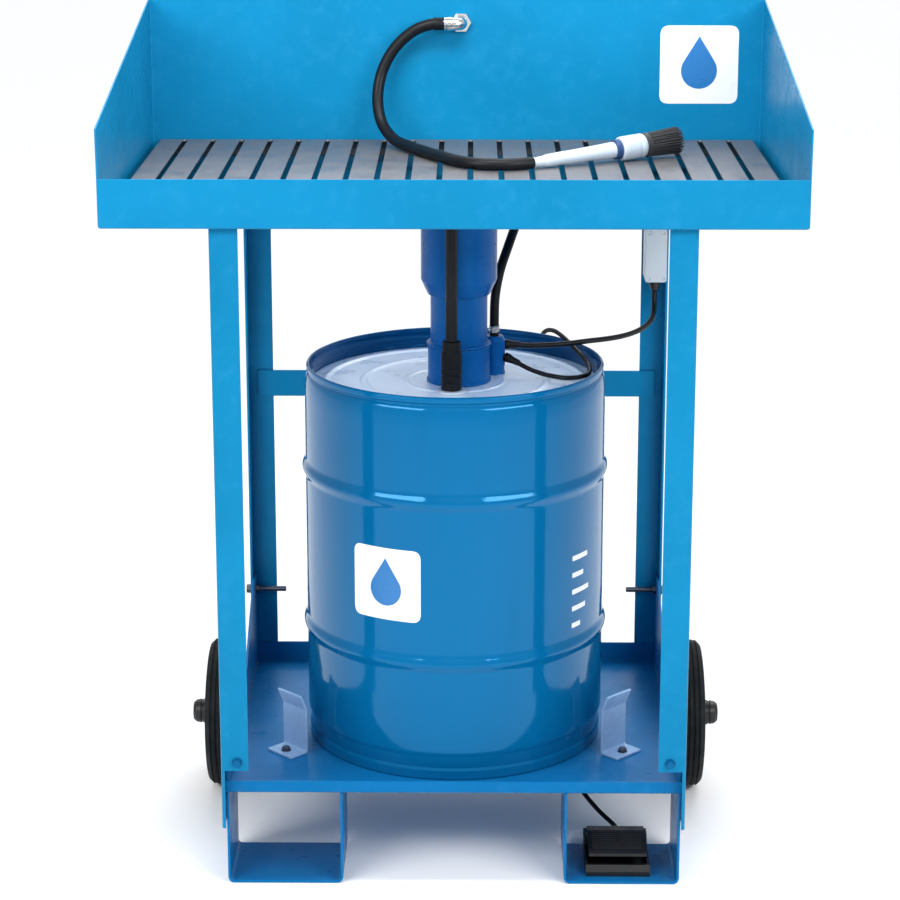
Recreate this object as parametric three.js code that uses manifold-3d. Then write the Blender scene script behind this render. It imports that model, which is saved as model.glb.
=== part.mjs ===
// A mobile parts washer: a sheet-steel wash tray on four angle legs, with a steel drum of solvent under it.
// Millimetres, +Z up. X runs to the right, Y to the back. The drum's axis is x = 0, y = 0 until the last
// group, which moves the washer so that the middle of its footprint is the origin.
import * as THREE from 'three';
import { mergeVertices } from 'three/addons/utils/BufferGeometryUtils.js';
import Module from 'manifold-3d';

const wasm = await Module();
wasm.setup();

// ---------------------------------------------------------------- driving dimensions
const gap = 0.3;                       // between pieces that touch
const sheet = 3;                       // steel plate of the frame

const tray = { halfWidth: 409, halfDepth: 259, base: 834, lip: 892, corner: 950, back: 1045, sheet: 2 };
const grate = { halfWidth: 398, halfDepth: 254, top: 858, plate: 2.5, border: 9 };
const slots = { between: 21, pitch: 38.2, width: 7 };
const leg = { outer: 284, front: -240, rear: 240, flange: 34, frontEnd: 158, sideEnd: 82 };
const legTop = tray.base - gap;
const legBolt = { frontX: leg.outer - leg.flange / 2 - 3, frontZ: leg.frontEnd + 11 };
const legStud = { y: leg.rear - 18, z: 233, end: 236 };
const crossbar = { low: 507, high: 543 };
const rail = { width: 26, height: 16 };
const pan = { halfWidth: 280.7, front: -222, base: 121, lip: 137, upstand: 150 };
const sidePlate = { outer: 280.7, top: 253, shelf: 166, tab: 186, tabWidth: 28 };
const foot = { outer: 280, width: 143, front: -220, rear: -108, bend: 9 };
const axle = { y: 106, z: 98, radius: 10, halfLength: 342 };
const wheel = { radius: 98, rimRadius: 68, inner: 293, width: 39, capRadius: 16.5, capEnd: 356 };
const drum = { floor: 124.4, top: 616, radius: 191, rim: 188.5, wall: 2.2 };
const hoop = { radius: 195, heights: [277, 483] };
const lid = { radius: 183.6, top: 590, thickness: 2.2 };
const drain = { x: 5, sleeveRadius: 48, taperTop: 722, taperEnd: 703, tubeRadius: 36, tube: [596, 765] };
const bead = { low: 637, high: 641, radius: 41 };
const pump = { x: 50, y: 36, headRadius: 14, headTop: 640, pipeRadius: 9, bodyRadius: 35, body: [160, 300] };
const riser = { x: -4, y: -61, radius: 7.5, coupling: 13, couplingTop: 655, ringRadius: 19, ringTop: 593.4 };
const bulkhead = { x: 6, z: 1014, boreRadius: 9, elbowRadius: 9.5, reach: 22, barb: 26 };
const guide = { x: 202, y: -88, width: 44, height: 80, tab: 30, turn: Math.PI / 4 };
const box = { x: [252, 280.5], y: [190, 236.6], z: [676, 748], cover: 3, glandY: 210 };
const pedal = { x: [165, 245], y: [-205, -118], baseTop: 17, hingeZ: 25, rise: 38 };
const brush = { tail: [97, 17, 865.8], turn: 28, tilt: 3.6 };
const boltRadius = 3;
const boltHole = 3.4;
const studRadius = 3.8;
const studHole = 4.4;

const hose = { wash: 15, supply: 12, pumpCable: 7, pedalCable: 6 };

// ---------------------------------------------------------------- materials
function material(color, roughness, metalness = 0) {
  return new THREE.MeshStandardMaterial({ color, roughness, metalness });
}

const bluePaint = material(0x1484cf, 0.3);
const columnBlue = material(0x0b4f94, 0.4);
const drumBlue = material(0x1280cc, 0.25);
const palePaint = material(0xb4bce0, 0.35);
const plainSteel = material(0xa4a6b4, 0.4, 0.9);
const zincPlate = material(0x9aa0a6, 0.35, 0.9);
const brightMetal = material(0xd8d8da, 0.15, 1);
const blackRubber = material(0x14171a, 0.7);
const tyreRubber = material(0x1b1f20, 0.85);
const blackPlastic = material(0x0c0d0d, 0.45);
const greyPlastic = material(0xabb5bd, 0.5);
const whitePlastic = material(0xe8ecf2, 0.35);
const navyPlastic = material(0x24406e, 0.4);
const bristle = material(0x101216, 0.9);

// ---------------------------------------------------------------- geometry helpers
const washer = new THREE.Group();
let parent = washer;

function tidied(geometry) {
  let clean = geometry.clone();
  clean.deleteAttribute('normal');
  clean.deleteAttribute('uv');
  clean = mergeVertices(clean, 1e-3);
  const kept = [];
  const index = clean.index.array;
  for (let i = 0; i < index.length; i += 3) {
    const [a, b, c] = [index[i], index[i + 1], index[i + 2]];
    if (a !== b && b !== c && c !== a) kept.push(a, b, c);
  }
  clean.setIndex(kept);
  if (volumeOf(clean) < 0) {
    for (let i = 0; i < kept.length; i += 3) [kept[i + 1], kept[i + 2]] = [kept[i + 2], kept[i + 1]];
    clean.setIndex(kept);
  }
  return clean;
}

function volumeOf(geometry) {
  const place = geometry.getAttribute('position');
  const index = geometry.index.array;
  const [a, b, c] = [new THREE.Vector3(), new THREE.Vector3(), new THREE.Vector3()];
  let volume = 0;
  for (let i = 0; i < index.length; i += 3) {
    a.fromBufferAttribute(place, index[i]);
    b.fromBufferAttribute(place, index[i + 1]);
    c.fromBufferAttribute(place, index[i + 2]);
    volume += a.dot(b.cross(c)) / 6;
  }
  return volume;
}

function toSolid(geometry) {
  const clean = tidied(geometry);
  const vertProperties = new Float32Array(clean.getAttribute('position').array);
  const triVerts = new Uint32Array(clean.index.array);
  return new wasm.Manifold(new wasm.Mesh({ numProp: 3, vertProperties, triVerts }));
}

function toGeometry(solid) {
  const mesh = solid.getMesh();
  const geometry = new THREE.BufferGeometry();
  geometry.setAttribute('position', new THREE.BufferAttribute(new Float32Array(mesh.vertProperties), 3));
  geometry.setIndex(Array.from(mesh.triVerts));
  return geometry;
}

function cut(geometry, ...tools) {
  return toGeometry(tools.reduce((solid, tool) => solid.subtract(toSolid(tool)), toSolid(geometry)));
}

function joined(geometry, ...others) {
  return toGeometry(others.reduce((solid, other) => solid.add(toSolid(other)), toSolid(geometry)));
}

function block([x0, x1], [y0, y1], [z0, z1]) {
  const geometry = new THREE.BoxGeometry(x1 - x0, y1 - y0, z1 - z0);
  return geometry.translate((x0 + x1) / 2, (y0 + y1) / 2, (z0 + z1) / 2);
}

function outline(points) {
  return new THREE.Shape(points.map(([u, v]) => new THREE.Vector2(u, v)));
}

// A (y, z) outline pushed along X.
function prismX(shape, x0, x1) {
  const geometry = new THREE.ExtrudeGeometry(shape, { depth: x1 - x0, bevelEnabled: false });
  const basis = new THREE.Matrix4().makeBasis(
    new THREE.Vector3(0, 1, 0), new THREE.Vector3(0, 0, 1), new THREE.Vector3(1, 0, 0));
  return geometry.applyMatrix4(basis).translate(x0, 0, 0);
}

// An (x, z) outline pushed along Y.
function prismY(shape, y0, y1) {
  const geometry = new THREE.ExtrudeGeometry(shape, { depth: y1 - y0, bevelEnabled: false });
  return geometry.rotateX(Math.PI / 2).translate(0, y1, 0);
}

// A (radius, height) profile turned about a vertical axis.
function turnedZ(profile, sides, x = 0, y = 0) {
  const geometry = new THREE.LatheGeometry(profile.map(([r, h]) => new THREE.Vector2(r, h)), sides);
  return geometry.rotateX(Math.PI / 2).translate(x, y, 0);
}

// A (radius, distance) profile turned about the X axis.
function turnedX(profile, sides) {
  const geometry = new THREE.LatheGeometry(profile.map(([r, h]) => new THREE.Vector2(r, h)), sides);
  return geometry.rotateZ(-Math.PI / 2);
}

function rodX(radius, [x0, x1], y, z, sides = 12) {
  return turnedX([[0, x0], [radius, x0], [radius, x1], [0, x1]], sides).translate(0, y, z);
}

function rodY(radius, x, [y0, y1], z, sides = 12) {
  const geometry = new THREE.CylinderGeometry(radius, radius, y1 - y0, sides);
  return geometry.translate(x, (y0 + y1) / 2, z);
}

function rodZ(radius, x, y, [z0, z1], sides = 16) {
  return turnedZ([[0, z0], [radius, z0], [radius, z1], [0, z1]], sides, x, y);
}

// A round section swept along a hand-placed route.
function tubeAlong(points, diameter, steps, sides = 8) {
  const corners = points.map(([x, y, z]) => new THREE.Vector3(x, y, z));
  const path = new THREE.CatmullRomCurve3(corners, false, 'centripetal');
  const section = new THREE.Shape();
  for (let i = 0; i < sides; i++) {
    const angle = (i + 0.5) * 2 * Math.PI / sides;
    const [u, v] = [diameter / 2 * Math.cos(angle), diameter / 2 * Math.sin(angle)];
    if (i === 0) section.moveTo(u, v);
    else section.lineTo(u, v);
  }
  section.closePath();
  return new THREE.ExtrudeGeometry(section, { steps, extrudePath: path, bevelEnabled: false });
}

function add(name, geometry, surface) {
  const mesh = new THREE.Mesh(tidied(geometry), surface);
  mesh.name = name;
  parent.add(mesh);
  return mesh;
}

function mirroredX(geometry) {
  return tidied(geometry.clone().scale(-1, 1, 1));
}

// The washer is symmetric in many pieces: one is drawn on the right, and mirrored for the left.
function addPair(name, geometry, surface) {
  add(`${name}_right`, geometry, surface);
  add(`${name}_left`, mirroredX(geometry), surface);
}

// ---------------------------------------------------------------- wash tray and grate
function washTray() {
  const { halfWidth, halfDepth, base, lip, corner, back } = tray;
  const t = tray.sheet;
  const side = [[-halfDepth, base], [halfDepth, base], [halfDepth, back], [-halfDepth, corner]];
  const shell = prismX(outline(side), -halfWidth, halfWidth);
  const inside = block([t - halfWidth, halfWidth - t], [t - halfDepth, halfDepth - t], [base + t, back + 10]);
  const overLip = block([t - halfWidth, halfWidth - t], [-halfDepth - 10, 0], [lip, back]);
  const drainHole = rodZ(drain.sleeveRadius - 5, drain.x, 0, [base - 10, base + 10], 32);
  const throughBack = [halfDepth - 20, halfDepth + 20];
  const hoseHole = rodY(bulkhead.boreRadius + gap, bulkhead.x, throughBack, bulkhead.z, 16);
  const riserHole = rodZ(riser.radius - 1.5, riser.x, riser.y, [base - 10, base + 10], 12);
  add('wash_tray', cut(shell, inside, overLip, drainHole, hoseHole, riserHole), bluePaint);
}

function slottedGrate() {
  const { halfWidth, halfDepth, top, plate, border } = grate;
  const floor = tray.base + tray.sheet + gap;
  const skirt = 2;
  const slab = block([-halfWidth, halfWidth], [-halfDepth, halfDepth], [floor, top]);
  const hollow = block([skirt - halfWidth, halfWidth - skirt], [skirt - halfDepth, halfDepth - skirt],
    [floor - 10, top - plate]);
  const openings = [];
  for (let i = 1; i < slots.between; i++) {
    const x = (i - slots.between / 2) * slots.pitch;
    openings.push(block([x - slots.width / 2, x + slots.width / 2],
      [border - halfDepth, halfDepth - border], [top - 6, top + 6]));
  }
  add('grate', cut(slab, hollow, ...openings), plainSteel);
}

// ---------------------------------------------------------------- frame
function legs() {
  const { outer, flange } = leg;
  const sideFlange = (y0, y1, low) => block([outer - sheet, outer], [y0, y1], [low, legTop]);
  const front = joined(
    block([outer - flange, outer], [leg.front, leg.front + sheet], [leg.frontEnd, legTop]),
    sideFlange(leg.front, leg.front + flange, leg.sideEnd));
  const tabBolt = rodY(boltHole, legBolt.frontX, [leg.front - 5, leg.front + 10], legBolt.frontZ);
  addPair('front_leg', cut(front, tabBolt), bluePaint);
  const rear = joined(
    block([outer - flange, outer], [leg.rear - sheet, leg.rear], [pan.base, legTop]),
    sideFlange(leg.rear - flange, leg.rear, pan.base));
  const plateBolt = rodX(studHole, [outer - 10, outer + 10], legStud.y, legStud.z);
  addPair('rear_leg', cut(rear, plateBolt), bluePaint);
}

function railsAndCrossbar() {
  const end = leg.outer - sheet - gap;
  const [y0, y1] = [leg.front + leg.flange + gap, leg.rear - leg.flange - gap];
  const angle = joined(
    block([end - rail.width, end], [y0, y1], [legTop - sheet, legTop]),
    block([end - sheet, end], [y0, y1], [legTop - rail.height, legTop]));
  addPair('tray_rail', angle, bluePaint);
  const inner = leg.outer - leg.flange;
  const front = leg.rear - sheet - gap;
  const reachOut = inner + 20;
  add('rear_crossbar', block([-reachOut, reachOut], [front - sheet, front], [crossbar.low, crossbar.high]), bluePaint);
}

function basePan() {
  const { halfWidth, front, base, lip, upstand } = pan;
  const rear = leg.rear - sheet - gap;
  const inner = sidePlate.outer - sheet - gap;
  const floorTop = base + sheet;
  const profile = [[front, base], [rear, base], [rear, upstand], [rear - sheet, upstand], [rear - sheet, floorTop],
    [front + sheet, floorTop], [front + sheet, lip], [front, lip]];
  const bent = prismX(outline(profile), -inner, inner);
  const frontLip = block([-halfWidth, halfWidth], [front, front + sheet], [base, lip]);
  const grommetHole = rodZ(7, grommet.x, grommet.y, [base - 5, base + 10], 16);
  const guideBolt = (side) => {
    const spot = guideBoltSpot();
    return rodZ(boltHole, side * spot.x, spot.y, [base - 5, base + 10], 12);
  };
  add('base_pan', cut(joined(bent, frontLip), grommetHole, guideBolt(1), guideBolt(-1)), bluePaint);
}

// A side plate stands between a front and a rear leg and carries the axle. It is folded in behind the
// front leg.
function sidePlates() {
  const { outer, top, shelf, tab, tabWidth } = sidePlate;
  const front = pan.front + sheet + gap;
  const rear = leg.rear - sheet - gap;
  const boss = 26;
  const shape = outline([[front, pan.base], [axle.y - boss - 14, pan.base], [axle.y - boss, axle.z - 18],
    [axle.y + boss, axle.z - 18], [axle.y + boss + 14, pan.base], [rear, pan.base], [rear, top],
    [rear - 38, top], [rear - 190, shelf], [front + 40, shelf], [front, tab]]);
  const plate = prismX(shape, outer - sheet, outer);
  const fold = block([outer - tabWidth, outer - 0.5], [front, front + sheet], [shelf - 8, tab]);
  const axleHole = rodX(axle.radius + gap, [outer - 20, outer + 20], axle.y, axle.z, 24);
  const studCut = rodX(studHole, [outer - 20, outer + 20], legStud.y, legStud.z);
  const tabCut = rodY(boltHole, legBolt.frontX, [front - 5, front + 10], legBolt.frontZ);
  addPair('side_plate', cut(joined(plate, fold), axleHole, studCut, tabCut), bluePaint);
}

// A front foot is a strip bent to a U, seen from the front, with rounded lower corners.
function feet() {
  const { outer, width, front, rear, bend } = foot;
  const top = pan.base - gap;
  const inner = outer - width;
  const arc = (cx, cz, radius, from, to) => {
    const points = [];
    for (let i = 0; i <= 5; i++) {
      const angle = from + (to - from) * i / 5;
      points.push([cx + radius * Math.cos(angle), cz + radius * Math.sin(angle)]);
    }
    return points;
  };
  const [left, right, quarter] = [inner + bend, outer - bend, Math.PI / 2];
  const points = [
    [inner, top], ...arc(left, bend, bend, Math.PI, 3 * quarter), ...arc(right, bend, bend, -quarter, 0),
    [outer, top],
    [outer - sheet, top], ...arc(right, bend, bend - sheet, 0, -quarter),
    ...arc(left, bend, bend - sheet, 3 * quarter, Math.PI), [inner + sheet, top]];
  addPair('front_foot', prismY(outline(points), front, rear), bluePaint);
}

function fasteners() {
  const bolt = (radius, head, headDepth, length, nutAt) => {
    const nut = new THREE.CylinderGeometry(head, head, headDepth, 6).translate(0, nutAt, 0);
    const shank = new THREE.CylinderGeometry(radius, radius, length, 10).translate(0, length / 2, 0);
    const top = new THREE.CylinderGeometry(head, head, headDepth, 6).translate(0, -headDepth / 2, 0);
    const washerRing = new THREE.CylinderGeometry(head * 1.25, head * 1.25, 1, 16).translate(0, 0.5, 0);
    return joined(shank, washerRing, top, nut);
  };
  // Front leg bolts run back through the leg and the folded tab.
  const tabBack = pan.front + 2 * sheet + gap;
  const start = leg.front - gap - 1;
  const nutAt = tabBack - start + gap + 2;
  const front = bolt(boltRadius, 5.5, 4, nutAt + 6, nutAt);
  addPair('front_leg_bolt', front.translate(legBolt.frontX, start, legBolt.frontZ), zincPlate);
  // Rear leg bolts run inwards and end past the leg's inner edge.
  const outside = leg.outer + gap + 1;
  const inside = outside - (sidePlate.outer - sheet) + gap + 2.6;
  const rear = bolt(studRadius, 6.5, 5, outside - legStud.end, inside);
  addPair('rear_leg_bolt', rear.rotateZ(Math.PI / 2).translate(outside, legStud.y, legStud.z), zincPlate);
}

// ---------------------------------------------------------------- wheels
function axleAndWheels() {
  const end = axle.halfLength;
  const shoulder = [sidePlate.outer + gap + 3.5, wheel.inner - gap];
  add('axle', joined(rodX(axle.radius, [-end, end], axle.y, axle.z, 24),
    rodX(axle.radius + 5, shoulder, axle.y, axle.z, 20),
    rodX(axle.radius + 5, [-shoulder[1], -shoulder[0]], axle.y, axle.z, 20)), zincPlate);
  const { radius, rimRadius, inner, width, capRadius, capEnd } = wheel;
  const outer = inner + width;
  const bore = axle.radius + gap;
  const hub = 24;
  const web = [inner + 14, outer - 14];
  const rim = [[bore, inner], [hub, inner], [hub, web[0]], [rimRadius - 9, web[0]],
    [rimRadius - 5, inner + 4], [rimRadius, inner + 4], [rimRadius, outer - 4], [rimRadius - 5, outer - 4], [rimRadius - 9, web[1]],
    [hub, web[1]], [hub, outer + 4], [bore, outer + 4], [bore, inner]];
  addPair('wheel_rim', turnedX(rim, 24).translate(0, axle.y, axle.z), blackPlastic);
  const seat = rimRadius + gap;
  const tyre = [[seat, inner + 3], [radius - 12, inner], [radius - 4, inner + 3], [radius, inner + 10],
    [radius, outer - 10], [radius - 4, outer - 3], [radius - 12, outer], [seat, outer - 3], [seat, inner + 3]];
  addPair('tyre', turnedX(tyre, 32).translate(0, axle.y, axle.z), tyreRubber);
  const cup = [[0, end + gap], [bore, end + gap], [bore, outer + 4 + gap], [capRadius, outer + 4 + gap],
    [capRadius, capEnd - 5], [capRadius - 5, capEnd], [0, capEnd]];
  addPair('hub_cap', turnedX(cup, 20).translate(0, axle.y, axle.z), blackPlastic);
}

// ---------------------------------------------------------------- drum
function drumShell() {
  const { floor, radius, wall, rim, top } = drum;
  const swell = (height) => [[radius, height - 13], [hoop.radius, height - 6], [hoop.radius, height + 6],
    [radius, height + 13]];
  const ledge = lid.radius + gap + 0.6;
  const shelf = lid.top - lid.thickness - gap;
  const bore = radius - wall;
  const chime = radius - 8;
  const profile = [[chime, floor], [radius - 4, floor], [radius - 2, floor + 4], [radius - 2, floor + 34],
    [radius, floor + 42],
    ...swell(hoop.heights[0]), ...swell(hoop.heights[1]),
    [radius, 588], [radius - 1.5, 596], [rim - 2, 602], [rim, 606], [rim, top - 3], [rim - 1.4, top],
    [rim - 2.8, top], [ledge, top - 3], [ledge, shelf], [ledge - 5, shelf], [ledge - 5, shelf - 2.5],
    [bore, shelf - 7], [bore, floor + 44], [bore - 2, floor + 36], [bore - 2, floor + 10], [chime, floor + 8],
    [chime, floor]];
  add('drum_shell', turnedZ(profile, 36), drumBlue);
  const rest = floor + 3;
  add('drum_base', rodZ(chime - gap, 0, 0, [rest, rest + wall], 36), drumBlue);
}

function drumLid() {
  const low = lid.top - lid.thickness;
  const plate = turnedZ([[0, low], [lid.radius, low], [lid.radius, lid.top], [lid.radius - 14, lid.top],
    [lid.radius - 20, lid.top + 2.5], [lid.radius - 26, lid.top], [0, lid.top]], 36);
  const reach = [low - 10, lid.top + 10];
  const drainHole = rodZ(drain.tubeRadius + 1.5, drain.x, 0, reach, 32);
  const pumpHole = rodZ(pump.pipeRadius + 1, pump.x, pump.y, reach, 16);
  const riserHole = rodZ(riser.radius + 1, riser.x, riser.y, reach, 16);
  add('drum_lid', cut(plate, drainHole, pumpHole, riserHole), palePaint);
}

function guideBoltSpot() {
  const out = guide.tab - 12;
  return { x: guide.x + out * Math.sin(guide.turn), y: guide.y - out * Math.cos(guide.turn) };
}

// A guide bracket is an angle with a flared top: it keeps the drum from sliding forward.
function guideBrackets() {
  const low = pan.base + sheet + gap;
  const half = guide.width / 2;
  const side = outline([[0, low], [-guide.tab, low], [-guide.tab, low + sheet], [-sheet, low + sheet],
    [-sheet, low + guide.height - 20], [-sheet - 9, low + guide.height], [-9, low + guide.height],
    [0, low + guide.height - 20]]);
  const hole = rodZ(boltHole, 0, 12 - guide.tab, [low - 5, low + 10], 12);
  const bracket = cut(prismX(side, -half, half), hole);
  addPair('guide_bracket', bracket.rotateZ(guide.turn).translate(guide.x, guide.y, 0), bluePaint);
  const spot = guideBoltSpot();
  const head = low + sheet + gap;
  const bolt = joined(rodZ(boltRadius, spot.x, spot.y, [pan.base - 6, head + 2], 10),
    rodZ(5.5, spot.x, spot.y, [head, head + 4], 6),
    rodZ(5.5, spot.x, spot.y, [pan.base - 5, pan.base - gap], 6));
  addPair('guide_bolt', bolt, zincPlate);
}

// ---------------------------------------------------------------- drain, riser and pump
function drainSleeve() {
  const { x, sleeveRadius, tubeRadius, taperTop, taperEnd } = drain;
  const top = tray.base - gap;
  const wall = 3;
  const neck = tubeRadius + 0.8;
  add('drain_sleeve', turnedZ([[neck, taperEnd], [neck + 2.6, taperEnd], [sleeveRadius, taperTop],
    [sleeveRadius, top - 3], [sleeveRadius + 5, top - 3], [sleeveRadius + 5, top], [sleeveRadius - wall, top],
    [sleeveRadius - wall, taperTop + 1], [neck, taperEnd + 4], [neck, taperEnd]], 24, x), columnBlue);
}

function drainTube() {
  const { x, tubeRadius, tube: [low, high] } = drain;
  const bore = tubeRadius - 2.4;
  add('drain_tube', turnedZ([[bore, low], [tubeRadius, low], [tubeRadius, bead.low], [bead.radius, bead.low],
    [bead.radius, bead.high], [tubeRadius, bead.high], [tubeRadius, high], [bore, high], [bore, low]],
  24, x), columnBlue);
  const collarBore = tubeRadius + 0.8;
  add('lid_collar', turnedZ([[collarBore, lid.top + gap], [collarBore + 4, lid.top + gap],
    [collarBore + 4, lid.top + 4], [collarBore + 2.4, lid.top + 5], [collarBore + 2.4, bead.low - gap],
    [collarBore, bead.low - gap], [collarBore, lid.top + gap]], 24, x), columnBlue);
}

function riserPipe() {
  const { x, y, radius, coupling, couplingTop, ringRadius, ringTop } = riser;
  add('riser_tube', rodZ(radius, x, y, [couplingTop + gap, tray.base - gap], 16), blackRubber);
  add('riser_coupling', turnedZ([[0, lid.top - 12], [radius, lid.top - 12], [radius, ringTop + gap],
    [coupling, ringTop + gap], [coupling, couplingTop - 14], [coupling - 1.5, couplingTop - 12],
    [coupling - 1.5, couplingTop], [0, couplingTop]], 20, x, y), blackRubber);
  add('riser_ring', turnedZ([[radius + 0.5, lid.top + gap], [ringRadius, lid.top + gap], [ringRadius, ringTop - 1],
    [ringRadius - 1, ringTop], [radius + 0.5, ringTop], [radius + 0.5, lid.top + gap]], 24, x, y), whitePlastic);
}

function pumpInDrum() {
  const { x, y, headRadius, headTop, pipeRadius, bodyRadius, body: [bodyLow, bodyHigh] } = pump;
  const head = turnedZ([[0, bodyHigh + gap], [pipeRadius, bodyHigh + gap], [pipeRadius, lid.top + gap],
    [headRadius, lid.top + gap], [headRadius, headTop - 3], [headRadius - 3, headTop], [0, headTop]], 20, x, y);
  add('pump_column', head, columnBlue);
  add('pump_body', turnedZ([[0, bodyLow], [bodyRadius, bodyLow], [bodyRadius, bodyHigh - 14],
    [bodyRadius - 14, bodyHigh], [0, bodyHigh]], 24, x, y), blackPlastic);
  const low = drum.floor + 6;
  const cage = turnedZ([[0, low], [bodyRadius + 3, low], [bodyRadius + 3, bodyLow - gap],
    [bodyRadius - 1, bodyLow - gap], [bodyRadius - 1, low + 3], [0, low + 3]], 24, x, y);
  const windows = [];
  for (let i = 0; i < 6; i++) {
    const turn = i * Math.PI / 6;
    const reach = bodyRadius + 10;
    windows.push(block([-reach, reach], [-5, 5], [low + 7, bodyLow - 6]).rotateZ(turn).translate(x, y, 0));
  }
  add('pump_strainer', cut(cage, ...windows), zincPlate);
}

// ---------------------------------------------------------------- hoses and cables
const elbowStart = bulkhead.x - bulkhead.reach;
const elbowY = tray.halfDepth - tray.sheet - 20;
const barbY = tray.halfDepth + bulkhead.barb - bulkhead.elbowRadius;
const washHoseRoute = [
  [elbowStart - 0.6, elbowY, bulkhead.z], [-30, elbowY, bulkhead.z], [-54, 237, 1006], [-80, 236, 984],
  [-98, 232, 952], [-104, 223, 916], [-98, 207, 887], [-82, 181, 870], [-60, 142, 866], [-38, 101, 865.8],
  [-18, 65, 865.8], [0.4, 34.2, 865.8], [21.1, 13.5, 865.8], [42, 5, 865.8], [64.5, 4.2, 865.8],
  [86, 11.2, 865.8], [96.7, 16.8, 865.8]];
const supplyHoseRoute = [
  [pump.x, pump.y, pump.headTop + gap], [50, 36, 662], [51, 37, 690], [57, 44, 722], [68, 62, 752], [79, 94, 776],
  [87, 136, 788], [90, 182, 793], [89, 222, 796], [85, 247, 804], [80, 264, 820], [74, 273, 842], [64, 276, 868],
  [48, 276, 896], [32, 276, 922], [18, 275.8, 948], [9, barbY, 968], [bulkhead.x, barbY, 982],
  [bulkhead.x, barbY, bulkhead.z - bulkhead.reach - gap]];
const pumpCableRoute = [
  [pump.x + pump.headRadius + gap + 1, 40, 627], [74, 43, 626], [96, 50, 623], [122, 60, 621.5], [148, 69, 621.5],
  [172, 78, 622.5], [196, 92, 622], [218, 112, 621], [238, 138, 621], [251, 161, 622.5], [260, 180, 626.5],
  [264.5, 195, 632.5], [266, 205.5, 643.5], [266.25, 210, 657], [266.25, 210, 661.4]];
const grommet = { x: 108.5, y: 177.5 };
const pedalGland = { x: 208, z: 21 };
const pedalCableRoute = [
  [pump.x + pump.headRadius + gap + 2, pump.y - 6, 612], [77, 25, 608], [93, 15, 601.5], [112, 2.5, 597.5],
  [131.2, -9.8, 596.5], [142.7, -13.7, 596.5], [156, -11.4, 596.8], [167.5, -0.8, 597.3], [171, 12.2, 598],
  [171, 36, 601], [164, 63, 606], [152, 90, 613], [140, 114, 620], [129, 136, 622.5], [119, 156, 617],
  [112, 170, 602], [109, 176.5, 578], [grommet.x, grommet.y, 545], [grommet.x, grommet.y, 460],
  [grommet.x, grommet.y, 370], [grommet.x, grommet.y, 280], [grommet.x, grommet.y, 190],
  [grommet.x, grommet.y, 132], [grommet.x, grommet.y, 112], [109, 174, 93], [112, 161, 77], [117, 138, 68],
  [124, 106, 66], [133, 60, 66], [146, 10, 64], [158, -30, 56], [172, -56, 45], [188, -73, 32],
  [201, -84, 23.5], [207, -94, 21], [pedalGland.x, foot.rear + 6, pedalGland.z],
  [pedalGland.x, foot.rear + 2.3, pedalGland.z]];

function hosesAndCables() {
  add('wash_hose', tubeAlong(washHoseRoute, hose.wash, 30, 8), blackRubber);
  add('supply_hose', tubeAlong(supplyHoseRoute, hose.supply, 30, 8), blackRubber);
  add('pump_cable', tubeAlong(pumpCableRoute, hose.pumpCable, 20, 8), blackRubber);
  add('pedal_cable', tubeAlong(pedalCableRoute, hose.pedalCable, 56, 8), blackRubber);
  const floor = [pan.base - 2.5, pan.base + sheet + 2.5];
  const bore = hose.pedalCable / 2 + 0.4;
  add('pan_grommet', turnedZ([[bore, floor[0]], [9, floor[0]], [9, pan.base - gap], [6.6, pan.base - gap],
    [6.6, pan.base + sheet + gap], [9, pan.base + sheet + gap], [9, floor[1]], [bore, floor[1]], [bore, floor[0]]],
  16, grommet.x, grommet.y), blackRubber);
}

function bulkheadFitting() {
  const { x, z, boreRadius, elbowRadius, reach } = bulkhead;
  const face = tray.halfDepth - tray.sheet - gap;
  const body = joined(
    rodY(boreRadius, x, [elbowY, barbY], z, 16),
    rodZ(elbowRadius, x, barbY, [z - reach, z + elbowRadius + 2], 16),
    rodY(elbowRadius + 4, x, [face - 5, face], z, 6),
    rodX(elbowRadius, [x - reach, x + elbowRadius + 2], elbowY, z, 16));
  add('bulkhead_elbow', body, brightMetal);
  add('bulkhead_nut', cut(rodY(elbowRadius + 4.5, x, [tray.halfDepth + gap, tray.halfDepth + 7], z, 6),
    rodY(boreRadius + gap, x, [tray.halfDepth - 5, tray.halfDepth + 20], z, 16)), brightMetal);
}

// ---------------------------------------------------------------- brush
function washBrush() {
  const holder = new THREE.Group();
  holder.position.set(...brush.tail);
  holder.rotation.order = 'ZYX';
  holder.rotation.z = THREE.MathUtils.degToRad(brush.turn);
  holder.rotation.y = -THREE.MathUtils.degToRad(brush.tilt);
  washer.add(holder);
  parent = holder;
  add('brush_handle', turnedX([[0, gap], [6.4, gap], [6.6, 14], [8, 20], [9, 70], [10.4, 112], [10.4, 118],
    [0, 118]], 20), whitePlastic);
  add('brush_ring', turnedX([[0, 118.3], [12, 118.3], [12.6, 120], [12.6, 124], [12, 125.7], [0, 125.7]], 20),
    navyPlastic);
  add('brush_collar', turnedX([[0, 126], [14.5, 126], [15.6, 129], [15.8, 158], [14.5, 161], [0, 161]], 24),
    whitePlastic);
  add('brush_head', turnedX([[0, 161.3], [16.4, 161.3], [17.6, 168], [18.4, 200], [18.6, 212], [17.6, 214],
    [0, 214]], 24), bristle);
  parent = washer;
}

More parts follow.
